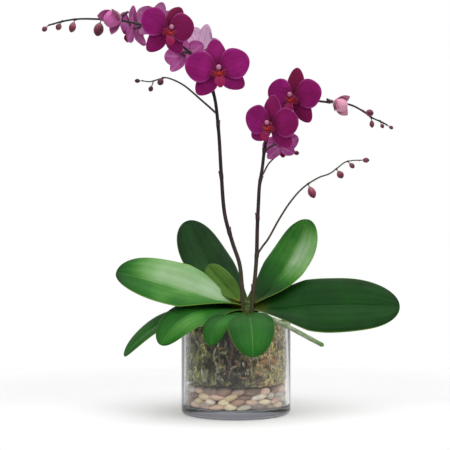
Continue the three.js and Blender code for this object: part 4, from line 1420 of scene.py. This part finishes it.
# %% The spikes' lines
SPIKES = {
    "spike_left": {
        "stalk": [
            (9, -15, 136), (8.5, -15, 165), (5, -14, 207), (-5, -12, 238), (-15.5, -11, 276),
            (-20.5, -11, 332), (-24.5, -12, 395), (-31, -14, 444), (-46, -16, 480), (-66, -18, 503),
            (-85, -18, 517), (-106, -17, 531), (-135, -15, 541), (-165, -12, 547), (-194, -9, 549),
            (-220, -6, 549.5), (-240, -4, 547), (-262, -2, 541.5),
        ],
        "radius": (2.9, 1.1),
        "joints": (0.07, 0.2, 0.335, 0.455),
        "branches": [
            {
                "points": [
                    (-27, -12, 417), (-35, -16, 424), (-49, -20, 436), (-72, -24, 455), (-88, -26, 463),
                    (-98, -26, 465.5), (-108, -25, 463), (-119, -22, 460.5), (-130, -18, 462),
                ],
                "radius": (1.5, 0.8),
            },
        ],
    },
    "spike_right": {
        "stalk": [
            (21, -15, 136), (22.5, -15, 158), (26, -14, 188), (28.5, -13, 221), (29.5, -12, 260),
            (31, -11, 291), (32.5, -10, 317), (36.5, -9, 342), (40, -7, 370), (47, -5, 398), (60, -4, 421),
            (78, -4, 434), (100, -4, 437), (122, -4, 434.5), (142, -4, 433), (160, -4, 430), (176, -4, 422),
            (190, -4, 412), (204, -3, 406), (211, -2, 402),
        ],
        "radius": (2.9, 1.0),
        "joints": (0.08, 0.185, 0.3, 0.415),
        "branches": [
            {
                "points": [
                    (29, -13, 221), (36, -17, 232), (44, -22, 243), (60, -28, 272), (75, -32, 295),
                    (91, -35, 313), (112, -38, 327), (128, -38, 333), (139, -37, 341), (149, -35, 348.5),
                    (160, -33, 351), (171, -31, 351.5),
                ],
                "radius": (1.5, 0.8),
            },
            {
                "points": [
                    (33, -10, 326), (39, 4, 336), (47, 20, 350), (59, 29, 361), (69, 30, 366),
                    (79, 27, 366),
                ],
                "radius": (1.4, 0.8),
            },
        ],
    },
}
JOINT_SWELL = 0.16
JOINT_REACH = 0.006


def taper(radius, share, joints=()):
    """Thick to thin, with a slight swelling at each joint."""
    made = radius[0] + (radius[1] - radius[0]) * share**1.6
    for joint in joints:
        made = made * (1 + JOINT_SWELL * np.exp(-(((share - joint) / JOINT_REACH) ** 2)))
    return made


spike_lines = {}
for name, spike in SPIKES.items():
    spike_lines[(name,)] = smooth_line(spike["stalk"], steps=400)
    for k, branch in enumerate(spike["branches"]):
        spike_lines[(name, k)] = smooth_line(branch["points"], steps=200)
print("spike lines:", {key: len(line) for key, line in spike_lines.items()})

# %% [markdown]
# ## Where each flower and bud sits
#
# Flowers sit at measured places: the middle of the flower, the share of its spike's length where its own
# stalk leaves, and the way it faces. Yaw is 0 to the front and 90 to the right, nod is up or down, and roll
# is clockwise. A florist ties the spike so that most flowers look forwards; a few are seen from the back.

# %% Flower and bud places
FLOWER_COLUMNS = "spike leaves at yaw nod roll size"
BLOOMS = table(
    FLOWER_COLUMNS,
    {
        "bloom_1": ("spike_left", 0.535, (-25, -48, 473), 6, -4, -6, 1.03),
        "bloom_2": ("spike_left", 0.69, (-94, -50, 528), 30, -6, 6, 0.95),
        "bloom_3": ("spike_left", 0.58, (-47, 30, 511), 138, 4, -28, 0.94),
        "bloom_4": ("spike_left", 0.635, (-72, 10, 500), 160, -14, 14, 0.7),
        "bloom_5": ("spike_left", 0.785, (-147, 26, 541), -118, -6, 0, 0.78),
        "bloom_6": ("spike_left", 0.735, (-114, 34, 552), -160, 20, -10, 0.72),
        "bloom_7": ("spike_right", 0.66, (79, -38, 437.5), -33, -4, 4, 0.97),
        "bloom_8": ("spike_right", 0.55, (47.5, -48, 399), -34, -6, 10, 0.97),
        "bloom_9": ("spike_right", 0.505, (63, 6, 373), 160, -18, 10, 0.62),
    },
)
OPENING_BUDS = table(
    FLOWER_COLUMNS,
    {
        "opening_bud_left": ("spike_left", 0.825, (-164, -22, 550), -40, -24, 60, 1.3),
        "opening_bud_right": ("spike_right", 0.8, (138.5, -17, 431.5), 40, -20, 20, 1.08),
    },
)
FLOWERS = {**BLOOMS, **OPENING_BUDS}
BUDS = table(
    "line leaves drop length width",
    {
        "bud_left_1": (("spike_left",), 0.872, (-2, -5, -11), 22, 7),
        "bud_left_2": (("spike_left",), 0.935, (-2, -1, -7), 16, 5),
        "bud_left_3": (("spike_left",), 0.968, (-3, 2, -5), 10.5, 4.2),
        "bud_left_4": (("spike_left",), 1, (-4, 0, -4), 9, 3.7),
        "bud_left_branch_1": (("spike_left", 0), 0.74, (-3, -5, -5), 12, 4.4),
        "bud_left_branch_2": (("spike_left", 0), 0.86, (-5, -2, -15), 8.5, 3.4),
        "bud_left_branch_3": (("spike_left", 0), 1, (-5, 0, 0), 8, 3),
        "bud_right_1": (("spike_right",), 0.915, (6, -5, -2), 13, 5),
        "bud_right_2": (("spike_right",), 0.945, (1, 2, -8), 11, 3.4),
        "bud_right_3": (("spike_right",), 0.975, (3, -1, -7), 7, 2.8),
        "bud_right_4": (("spike_right",), 1, (5, 0, -3), 7, 2.6),
        "bud_right_branch_1": (("spike_right", 0), 0.6, (3, -2, -7), 18, 5.5),
        "bud_right_branch_2": (("spike_right", 0), 0.815, (4, -1, -6), 12, 4.8),
        "bud_right_branch_3": (("spike_right", 0), 0.91, (5, 1, -5), 9.5, 3.4),
        "bud_right_branch_4": (("spike_right", 0), 1, (4, 0, 0), 10, 3.6),
        "bud_back_branch": (("spike_right", 1), 1, (5, -2, -1), 9, 3.2),
    },
)
HUB_RADIUS = 3.2
TOUCH_GAP = 0.3
print("flowers:", len(BLOOMS), "opening buds:", len(OPENING_BUDS), "buds:", len(BUDS))


# %% How a flower and a bud are set
STALK_BEHIND = 14
STALK_BEND = 0.55
STALK_RISE = (0, 0, 2)
BUD_STALK_SHARE = 0.45


def flower_axes(flower):
    """The flower's right, top and face, as the columns of a matrix."""
    yaw, nod, roll = (math.radians(flower[key]) for key in ("yaw", "nod", "roll"))
    face = np.array([math.sin(yaw) * math.cos(nod), -math.cos(yaw) * math.cos(nod), math.sin(nod)])
    right = np.cross([0, 0, 1], face)
    right /= np.linalg.norm(right)
    top = np.cross(face, right)
    cosine, sine = math.cos(roll), math.sin(roll)
    turn = np.array([[cosine, sine, 0], [-sine, cosine, 0], [0, 0, 1]])
    return np.stack([right, top, face], axis=1) @ turn


def set_flower(points, flower):
    """Moves points from the flower's own axes to its place."""
    return (np.asarray(points).reshape(-1, 3) * flower["size"]) @ flower_axes(flower).T + flower["at"]


def own_stalk(flower):
    """The line of a flower's own stalk, from its spike to the back of its hub."""
    start = along_line(spike_lines[(flower["spike"],)], flower["leaves"])
    face = flower_axes(flower)[:, 2]
    end = np.array(flower["at"]) - face * (HUB_RADIUS * flower["size"] + TOUCH_GAP)
    behind = end - face * STALK_BEHIND * flower["size"]
    middle = start + (behind - start) * STALK_BEND + STALK_RISE
    return smooth_line([start, middle, behind, end], steps=60)


def bud_seat(bud):
    """Where a bud's short stalk starts and ends, and the way it points."""
    start = along_line(spike_lines[bud["line"]], bud["leaves"])
    way = np.array(bud["drop"], float)
    reach = np.linalg.norm(way)
    return start, start + way * BUD_STALK_SHARE, way / reach


# %% Scale leaves
def scale_leaf_shape(name):
    """One small sheathing scale, in units of the stalk's radius, open at its front and pointed at its top."""
    rows = np.linspace(0, 1, 9)
    columns = np.linspace(-1, 1, 13)
    u, v = grid_of(rows, columns)
    wide = 2.3 * np.sqrt(np.maximum(0, 1 - u**2.2))
    out = 1.06 + 0.42 * u**2
    middle = np.stack([out * np.cos(v * wide), out * np.sin(v * wide), -0.6 + 3.4 * u], axis=-1)
    points, faces, _ = blade_shape(-middle[:, ::-1] * (1, 1, -1), 0.16 * np.ones_like(u))
    clay = Clay()
    clay.press(points / MM, faces)
    return clay.fire(name)


SCALE_AT_JOINT = (1.05, 1.0)
SCALE_AT_STALK = (1.1, 0.8)
BRANCH_TAPER = (1.5, 0.8)


def scale_points(name, spike):
    """Points for the scale leaves of a spike: one at each joint, a small one under each flower and bud."""
    places, headings, sizes, spins = [], [], [], []
    seats = [((name,), joint, SCALE_AT_JOINT) for joint in spike["joints"]]
    seats += [((name,), f["leaves"], SCALE_AT_STALK) for f in FLOWERS.values() if f["spike"] == name]
    seats += [(b["line"], b["leaves"] - 0.004, SCALE_AT_STALK) for b in BUDS.values() if b["line"][0] == name]
    for k, (key, share, (grown, tall)) in enumerate(seats):
        line = spike_lines[key]
        at = int(min(share, 0.985) * (len(line) - 1))
        radius = taper(spike["radius"] if len(key) == 1 else BRANCH_TAPER, share)
        places.append(line[at])
        headings.append(line[min(at + 2, len(line) - 1)] - line[max(at - 2, 0)])
        sizes.append(np.array([radius, radius, radius * tall]) * grown)
        spins.append(k * math.pi + 0.6 * math.sin(3.1 * k))
    return copy_points(name + "_scales", places, headings, sizes, spins, own_stalk=[0.35] * len(places))


# %% Spikes
FLOWER_STALK_RADIUS = 1.5
BUD_STALK_RADIUS = 0.8
BUD_STALK_POINTS = 8


def spike_parts(name, spike):
    """The lines of a spike, each with its radius and how far it is a flower's own stalk and a branch."""
    parts = []
    for key, line in spike_lines.items():
        if key[0] == name:
            share = np.linspace(0, 1, len(line))
            on_branch = len(key) == 2
            source = spike["branches"][key[1]] if on_branch else spike
            joints = [] if on_branch else list(spike["joints"])
            joints += [f["leaves"] for f in FLOWERS.values() if f["spike"] == name and not on_branch]
            joints += [b["leaves"] for b in BUDS.values() if b["line"] == key]
            parts.append((line, taper(source["radius"], share, joints), 0 * share, 0 * share + on_branch))
    for flower in FLOWERS.values():
        if flower["spike"] == name:
            line = own_stalk(flower)
            share = np.linspace(0, 1, len(line))
            radius = FLOWER_STALK_RADIUS * (0.95 + 0.4 * share) * (1 + 0.05 * np.sin(share * 20))
            parts.append((line, radius, 0.3 + 0.7 * share, 0 * share))
    for bud in BUDS.values():
        if bud["line"][0] == name:
            start, foot, _ = bud_seat(bud)
            share = np.linspace(0.4, 1, BUD_STALK_POINTS)
            line = np.linspace(start, foot, BUD_STALK_POINTS)
            parts.append((line, BUD_STALK_RADIUS + 0 * share, share, 0 * share))
    return parts


scale_shape = scale_leaf_shape("scale_leaf")
scale_look = dict(Shape=scale_shape, Dents=0.0, Dent_Scale=1.0, Finish=stalk_material)
for name, spike in SPIKES.items():
    lines, radii, own, branch = zip(*spike_parts(name, spike))
    seed = line_seed(name + "_lines", lines, radii, own_stalk=own, branch=branch)
    tubes = grow(name + "_stalks", seed, tube_tree, Sides=14, Finish=stalk_material)
    scales = grow(name + "_scale_leaves", scale_points(name, spike), copies_tree, **scale_look)
    hand_in(join(name + "_stalks", tubes, scales), "stem", name)
bpy.data.objects.remove(scale_shape)

# %% [markdown]
# ## Petals and sepals
#
# A moth orchid has two broad petals over three narrower sepals. Each is thin, velvety and slightly cupped,
# with branching veins, a paler margin and a wavy edge; the back is a paler lilac pink. The rule for the
# outline is the solid's own. The veins are painted, because their relief is far finer than any mesh here.

# %% Petal finish
petal_finish = Finish("magenta_petal", Specular_IOR_Level=0.12, Sheen_Weight=0.05, Sheen_Roughness=0.5)
along, across = petal_finish.blade_map()
cloud = petal_finish.noise(60, 2)
cell = petal_finish.noise(1500, 2)
blotch = petal_finish.noise(110, 3)
bend = petal_finish.noise(70, 2)
fan = (across * (13 + along * 9) + bend * 4.5).sine()
fine_fan = (across * 47 + bend * 12).sine()
veins = (fan.rise(0.72, 1.0) * 0.7 + fine_fan.rise(0.7, 1.0) * 0.35) * (1 - along.rise(0.8, 1.0))
rim = abs(across).rise(0.86, 1.0) * 0.5 + along.rise(0.93, 1.0) * 0.35
front = petal_finish.mix(cloud.rise(0.3, 0.7), screen(136, 10, 102), screen(156, 20, 120))
front = petal_finish.glaze(
    front,
    (petal_finish.tone("warm"), (114, 9, 56)),
    (rim, (182, 86, 162)),
    (veins * 0.26, (84, 4, 62)),
    ((1 - along.rise(0.05, 0.4)) * 0.7, (92, 5, 42)),
)
back = petal_finish.mix(cloud.rise(0.3, 0.7), screen(160, 62, 132), screen(190, 96, 164))
back = petal_finish.glaze(
    back,
    # painted highlight: the back of a flower that faces the lamp is lightened almost to white
    (petal_finish.tone("faded"), (255, 214, 250)),
    (blotch.rise(0.54, 0.66) * 0.5, (150, 58, 128)),
    (veins * 0.35, (138, 44, 112)),
    ((1 - abs(across).rise(0.0, 0.2)) * 0.35, (210, 154, 190)),
)
base = petal_finish.mix(petal_finish.tone("upper"), back, front)
petal_material = petal_finish.coat_with(base, 0.5 + cell * 0.2, veins * -0.8 + cell * 0.5 + cloud, depth=0.3)

# %% Petal rule
PETAL = dict(length=43, width=19.5, claw=3, foot=1.5, lift=1.2, back=2, cup=-1.6, middle=1.1)
SEPAL = dict(length=40, width=12, claw=3.6, foot=1.5, lift=-2.2, back=5, cup=-1, middle=1.08)
TEPAL_KINDS = (PETAL, PETAL, SEPAL, SEPAL, SEPAL)
# the way each petal and sepal points, in degrees from the flower's right
LEANS = (17, 163, 90, -41, 221)
OWN_LEANS = {
    "bloom_1": (17, 163, 90, -36, 224),
    "bloom_2": (18, 161, 58, -42, 236),
    "bloom_7": (13, 167, 90, -56, 221),
    "bloom_8": (15, 169, 98, -41, 213),
}


def across_blade(count):
    """Places across a blade, -1 to 1, closer together towards its margins."""
    return np.sin(np.linspace(-1, 1, count) * math.pi / 2)


tepal_rows = 0.5 - 0.5 * np.cos(np.linspace(0, math.pi, 30))
tepal_columns = across_blade(21)


# %% Petal surface
ARCH = 3
MARGIN_WAVE = 0.9
RIPPLE = 0.5
MIDRIB_DEPTH = 0.7
MIDRIB_WIDTH = 0.12


def tepal_width(tepal, s):
    """A narrow claw at the foot that swells to the widest place and closes at the tip."""
    share = np.minimum(1, s)
    swell = np.maximum(0, np.sin(math.pi * share ** tepal["middle"])) ** (0.8 - 0.3 * share)
    return tepal["claw"] * (1 - s) + tepal["width"] * swell


def tepal_surface(tepal, lean, waves):
    """The middle surface of one petal or sepal, with a gentle wave in its margin."""
    s, t = grid_of(tepal_rows, tepal_columns)
    q = t * tepal_width(tepal, s)
    r = tepal["foot"] + s * tepal["length"]
    z = tepal["lift"] + ARCH * s * (1 - s) - tepal["back"] * s**2 + tepal["cup"] * (q / tepal["width"]) ** 2
    wave = np.sin(5.2 * s + waves[0]) * np.sign(t) + 0.6 * np.sin(9 * s + waves[1])
    z = z + MARGIN_WAVE * np.abs(t) ** 2.4 * wave * np.sin(math.pi * s)
    z = z + RIPPLE * np.cos(t * 3.1 + waves[2]) * np.sin(math.pi * s)
    z = z - MIDRIB_DEPTH * np.exp(-((t / MIDRIB_WIDTH) ** 2)) * (1 - s) * s
    angle = math.radians(lean)
    x = r * math.cos(angle) - q * math.sin(angle)
    y = r * math.sin(angle) + q * math.cos(angle)
    return np.stack([x, y, z], axis=-1)


def ball_shape(centre, radii, rings=10, segments=16):
    """A closed ball or oval."""
    turn = np.linspace(-90, 90, rings)
    profile = [(math.cos(math.radians(t)), math.sin(math.radians(t))) for t in turn]
    profile[0], profile[-1] = (0, -1), (0, 1)
    points, faces = turned_shape(profile, segments)
    return points.reshape(-1, 3) * radii + centre, faces


print("petal grid", len(tepal_rows), "by", len(tepal_columns))

# %% Petals of every bloom
# how warm the front of each petal and sepal is, in the order of TEPAL_KINDS
WARM = {
    "bloom_1": (0.15, 0.15, 0.3, 0.3, 0.35),
    "bloom_2": (0.7, 0.1, 0.95, 0.5, 0.45),
    "bloom_7": (0.4, 0.15, 0.95, 0.7, 0.4),
    "bloom_8": (0.5, 0.15, 0.6, 0.4, 0.3),
}
USUAL_WARM = (0.35,) * 5
# how far the back of each flower is lightened with a painted highlight
PAINTED_BACK_HIGHLIGHTS = {"bloom_3": 0.9, "bloom_6": 0.15}
HUB_MAP = (0.05, 0.5)
TEPAL_THICKNESS = 0.9
RIM_THINNING = 0.5
draw = np.random.default_rng(53)
tepal_map = blade_places(tepal_rows, tepal_columns)
_, t = grid_of(tepal_rows, tepal_columns)
tepal_thickness = TEPAL_THICKNESS - RIM_THINNING * np.abs(t) ** 3
for name, flower in BLOOMS.items():
    clay = Clay()
    kinds = zip(TEPAL_KINDS, OWN_LEANS.get(name, LEANS), WARM.get(name, USUAL_WARM))
    for tepal, lean, warm in kinds:
        middle = tepal_surface(tepal, lean, draw.random(3) * WAVE_TURN)
        points, faces, upper = blade_shape(middle, tepal_thickness)
        tones = dict(upper=upper, warm=warm, faded=PAINTED_BACK_HIGHLIGHTS.get(name, 0))
        clay.press(set_flower(points, flower), faces, tepal_map, **tones)
    points, faces = ball_shape((0, 0, 0), (HUB_RADIUS,) * 3)
    clay.press(set_flower(points, flower), faces, [HUB_MAP] * len(points), upper=0.6)
    hand_in(clay.fire(name + "_tepals", petal_material), "petal", name + "_petals")

# %% [markdown]
# ## The lip and the column
#
# The lip is a third petal turned into a landing stage: a pointed middle lobe, two side lobes that stand up
# round the column, and a yellow-orange callus in the throat. The column above it ends in a pale cap. Each is
# small, so blades and a swept shape are enough, with the colours carried as tones.

# %% Lip finish
lip_finish = Finish("crimson_lip", Specular_IOR_Level=0.2, Sheen_Weight=0.03)
throat = lip_finish.tone("throat")
cloud = lip_finish.noise(160, 2)
speck = lip_finish.noise(1100, 2)
along, across = lip_finish.blade_map()
stripes = (across * 16 + cloud * 3).sine().rise(0.2, 0.9)
base = lip_finish.mix(cloud.rise(0.3, 0.7), screen(118, 8, 60), screen(150, 20, 82))
base = lip_finish.glaze(
    base,
    (lip_finish.tone("lobe") * along.rise(0.3, 0.9), (158, 22, 84)),
    (stripes * (1 - along.rise(0.4, 0.8)) * 0.4, (84, 6, 34)),
    (throat, (186, 50, 34)),
    (speck.rise(0.6, 0.7) * throat * 0.6, (140, 24, 40)),
    (lip_finish.tone("ivory"), (206, 140, 172)),
)
lip_material = lip_finish.coat_with(base, 0.38 + speck * 0.2, stripes * 0.6 + speck, depth=0.25)


# %% Lobes of the lip
def middle_lobe(foot):
    """The pointed lobe that hangs in front, with a keel, and how orange each point is."""
    rows, columns = np.linspace(0, 1, 22), across_blade(13)
    s, t = grid_of(rows, columns)
    wide = 2.8 - 1.2 * s + 5.2 * np.maximum(0, np.sin(math.pi * s**1.5)) ** 1.2
    keel = 0.7 * np.exp(-((t / 0.25) ** 2)) * np.sin(math.pi * s)
    deep = foot + 9 * np.sin(2.2 * s) + np.abs(t) ** 1.5 * 1.6 + keel
    middle = np.stack([t * wide, -4 - 19 * s**1.2, deep], axis=-1)
    points, faces, _ = blade_shape(middle, 1.3 - 0.5 * np.abs(t) ** 3)
    orange = np.tile(np.exp(-((s / 0.22) ** 2)).ravel(), 2) * 0.9
    return points, faces, blade_places(rows, columns), orange


def side_lobe(foot, hand):
    """One of the two lobes that stand up round the column. hand is 1 on the right and -1 on the left."""
    rows, columns = np.linspace(0, 1, 14), np.linspace(-1, 1, 9)
    s, t = grid_of(rows, columns)
    t = t * (0.55 + 0.6 * np.sin(math.pi * s) ** 0.8) * np.sqrt(np.maximum(0, 1 - s**5))
    x = hand * (1.2 + 9.6 * np.sin(1.5 * s))
    middle = np.stack([x, -5.8 + 4.5 * s**2 + 3.6 * t, foot + 5 + 2.8 * t - 1.5 * s], axis=-1)
    points, faces, _ = blade_shape(middle if hand > 0 else middle[:, ::-1], 1.1 * np.ones_like(s))
    orange = np.tile(np.exp(-((s / 0.35) ** 2)).ravel(), 2) * 0.8
    return points, faces, blade_places(rows, columns), orange


# %% Lips and columns
LIP_FOOT = HUB_RADIUS + TOUCH_GAP + 0.8
COLUMN_SIDES = 18
CALLUS_CENTRE = (1.4, -5.4, LIP_FOOT + 6.2)
CALLUS_RADII = (1.5, 1.9, 1.7)


def column_shape(foot):
    """The column, which widens to a rounded cap, and how pale each point is."""
    knots = [(0, 1.5, foot - 0.6), (0, 2.4, foot + 4), (0, 3.8, foot + 9), (0, 3.2, foot + 10.2)]
    line = smooth_line(knots, steps=20)
    share = np.linspace(0, 1, len(line))
    radii = (2.4 + 1.1 * share) * np.sqrt(np.maximum(0.05, 1 - np.maximum(0, (share - 0.8) / 0.2) ** 2))
    points, faces = swept_shape(line, radii, sides=COLUMN_SIDES)
    along = np.repeat(np.concatenate([[0], share, [1]]), COLUMN_SIDES)
    return points, faces, 0.15 + 0.7 * np.clip((along - 0.7) / 0.25, 0, 1)


def lip_claw(foot):
    """The short stalk that joins the lip to the hub."""
    line = np.linspace((0, 1.5, foot + 1.9), (0, -7, foot + 4), 8)
    return swept_shape(line, 2.3 * np.sqrt(np.sin(np.linspace(0.5, 2.9, 8))), sides=12)


for name, flower in BLOOMS.items():
    clay = Clay()
    points, faces, blade, orange = middle_lobe(LIP_FOOT)
    clay.press(set_flower(points, flower), faces, blade, throat=orange, lobe=1.0)
    for hand in (1, -1):
        points, faces, blade, orange = side_lobe(LIP_FOOT, hand)
        clay.press(set_flower(points, flower), faces, blade, throat=orange)
    points, faces, ivory = column_shape(LIP_FOOT)
    clay.press(set_flower(points, flower), faces, ivory=ivory)
    points, faces = lip_claw(LIP_FOOT)
    clay.press(set_flower(points, flower), faces, throat=0.75)
    for hand in (1, -1):
        points, faces = ball_shape((hand * CALLUS_CENTRE[0], *CALLUS_CENTRE[1:]), CALLUS_RADII)
        clay.press(set_flower(points, flower), faces, throat=1.0)
    hand_in(clay.fire(name + "_lip_and_column", lip_material), "lip", name + "_lip")

# %% [markdown]
# ## Buds
#
# Closed buds are egg-shaped, with three seams where the sepals meet, dusky pink with wine-coloured tips. The
# two buds that are just opening show folded petals between three parting sepals. Buds are turned shapes with
# creases pressed in, so each one keeps its solid's size.

# %% Bud finish
bud_finish = Finish("bud_skin", Specular_IOR_Level=0.35, Sheen_Weight=0.2)
along, across = bud_finish.blade_map()
cloud = bud_finish.noise(220, 2)
fine = bud_finish.noise(1400, 2)
ribs = (across * 34 + cloud * 4).sine()
base = bud_finish.ramp(
    along + (cloud - 0.5) * 0.2,
    (0.0, (96, 70, 58)),
    (0.22, (168, 96, 108)),
    (0.6, (146, 48, 80)),
    (1.0, (84, 18, 46)),
)
base = bud_finish.glaze(
    base,
    (ribs.rise(0.4, 1.0) * 0.25, (112, 34, 62)),
    (bud_finish.tone("dusk"), (54, 18, 30)),
    (bud_finish.tone("plum"), (104, 20, 62)),
    # painted shade in the creases where the sepals meet and where the folded petals crease
    (bud_finish.tone("seam") * 0.7, (70, 16, 36)),
)
petal_pink = bud_finish.mix(bud_finish.tone("blush"), screen(212, 104, 178), screen(240, 170, 200))
base = bud_finish.mix(bud_finish.tone("inner"), base, petal_pink)
bud_material = bud_finish.coat_with(base, 0.45 + fine * 0.2, ribs * 0.6 + fine, depth=0.2)

# %% Closed buds
BUD_SIDES = 36
CREASE_DEPTH = 0.08
LEAST_DUSK = 0.08
MOST_DUSK = 0.9
DARKEST_BUDS = ("bud_left_branch", "bud_left_1")


def bud_shape(length, width):
    """A bud that stands on its base, with three creases and a slightly drawn-out tip."""
    share = 0.5 - 0.5 * np.cos(np.linspace(0, math.pi, 24))
    swell = np.maximum(0, np.sin(math.pi * share**1.08)) ** 0.62
    turn = np.arange(BUD_SIDES) / BUD_SIDES * 2 * math.pi
    crease = np.exp(-((np.sin(1.5 * turn) / 0.16) ** 2))
    radius = width * swell[:, None] * (1 - CREASE_DEPTH * crease[None])
    height = length * share[:, None] + 0 * radius
    points = np.stack([radius * np.cos(turn), radius * np.sin(turn), height], axis=-1)
    blade = np.stack([share[:, None] + 0 * radius, 0 * radius + (turn / WAVE_TURN)[None]], axis=-1)
    faces = tube_faces(len(share), BUD_SIDES)
    return points.reshape(-1, 3), faces, blade, (crease[None] * np.sin(math.pi * share)[:, None]).ravel()


for name, bud in BUDS.items():
    _, foot, way = bud_seat(bud)
    points, faces, blade, seam = bud_shape(bud["length"], bud["width"])
    turn = np.array(Vector((0, 0, 1)).rotation_difference(Vector(way)).to_matrix())
    points = points @ turn.T + foot + way * TOUCH_GAP
    dusk = 0.75 - 0.035 * bud["length"] + 0.4 * name.startswith(DARKEST_BUDS)
    clay = Clay()
    clay.press(points, faces, blade, seam=seam, dusk=min(MOST_DUSK, max(LEAST_DUSK, dusk)))
    hand_in(clay.fire(name + "_bud", bud_material), "bud", name)


# %% Opening buds
PETALS_RADIUS = 9
PETALS_HALF_HEIGHT = 10.6
PETALS_MIDDLE = 8
SEPAL_LEANS = (90, 210, 330)


def folded_petals(rings=26, sides=40):
    """The petals inside, still folded into a creased oval, and how deep in a crease each point is."""
    turn, rise = np.meshgrid(np.arange(sides) / sides * 2 * math.pi, np.linspace(-90, 90, rings))
    rise = np.radians(rise)
    fold = np.abs(np.sin(1.5 * turn + 0.8 * np.sin(rise * 2)))
    swell = 1 - 0.13 * np.exp(-((fold / 0.22) ** 2)) * np.cos(rise) + 0.03 * np.sin(7 * turn + 3 * rise)
    x = PETALS_RADIUS * np.cos(rise) * np.cos(turn) * swell
    y = PETALS_RADIUS * np.cos(rise) * np.sin(turn) * swell
    points = np.stack([x, y, PETALS_MIDDLE + PETALS_HALF_HEIGHT * np.sin(rise)], axis=-1)
    faces = tube_faces(rings, sides)
    blade = np.stack([(rise / math.pi) + 0.5, turn / WAVE_TURN], axis=-1)
    return points, faces, blade, np.exp(-((fold / 0.2) ** 2)).ravel() * 0.5


def parting_sepal(lean):
    """One of the three sepals that open round them, like the side of a cup."""
    rows, columns = np.linspace(0, 1, 20), across_blade(15)
    s, t = grid_of(rows, columns)
    r = 3 + 9.5 * np.sin(1.7 * s) + 1.6 * s
    wide = np.sin(math.pi * np.minimum(0.97, 0.12 + 0.85 * s)) * 8.5 * np.sqrt(np.maximum(0, 1 - s**6))
    around = math.radians(lean) + t * wide / r
    height = -1 + 19 * s - 1.5 * s**2 + 0.3 * np.sin(6 * s)
    middle = np.stack([r * np.cos(around), r * np.sin(around), height], axis=-1)
    points, faces, upper = blade_shape(middle[:, ::-1], 1.2 - 0.5 * np.abs(t))
    return points, faces, blade_places(rows, columns) * (0.8, 1), upper


for name, flower in OPENING_BUDS.items():
    clay = Clay()
    blush = 1.0 if name == "opening_bud_right" else 0.0
    points, faces, blade, creases = folded_petals()
    clay.press(set_flower(points, flower), faces, blade, inner=0.8, seam=creases, blush=blush)
    for lean in SEPAL_LEANS:
        points, faces, blade, upper = parting_sepal(lean)
        clay.press(set_flower(points, flower), faces, blade, inner=0.7 * (1 - upper), blush=blush, plum=0.8)
    hand_in(clay.fire(name + "_flower", bud_material), "bud", name)

# %% [markdown]
# ## The floor
#
# The orchid stands on plain white paper. It is a large disc a hair below the glass, with a very faint mottle
# so that it reads as paper, and it fades into the background. It is part of the stage, not of the object.

# %% Floor
PAPER_RADIUS = 9000
PAPER_TOP = -0.15
PAPER_UNDERSIDE = -3
paper = Finish("white_paper", Specular_IOR_Level=0.0)
mottle = paper.noise(14, 2)
white = paper.mix(mottle, (0.81, 0.81, 0.81), (0.83, 0.83, 0.83))
paper_material = paper.coat_with(white, 0.8 + mottle * 0.1, mottle, depth=0.05)
distance = paper.add("ShaderNodeVectorMath", {"operation": "LENGTH"}, {0: paper.place}, out="Value")
paper.show_through(distance.rise(0.2, 0.9), paper.add("ShaderNodeBsdfTransparent"))
clay = Clay()
sheet = [(0, PAPER_UNDERSIDE), (PAPER_RADIUS, PAPER_UNDERSIDE), (PAPER_RADIUS, PAPER_TOP), (0, PAPER_TOP)]
clay.press(*turned_shape(sheet, segments=64))
floor = clay.fire("floor", paper_material)
floor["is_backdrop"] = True
print("floor radius in metres:", PAPER_RADIUS * MM)

# %% [markdown]
# ## Sizes
#
# The finer pieces are meant to keep within the box of the solids. Both boxes are printed, so that they
# can be compared.

# %% Sizes and finish
fine_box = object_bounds()
sizes = {"solids": [list(corner) for corner in solid_box], "scene": [list(corner) for corner in fine_box]}
for side, before, after in zip(("low", "high"), solid_box, fine_box):
    pairs = [(round(a / MM, 1), round(b / MM, 1)) for a, b in zip(before, after)]
    print(side, "corner, solids and scene, mm:", pairs)
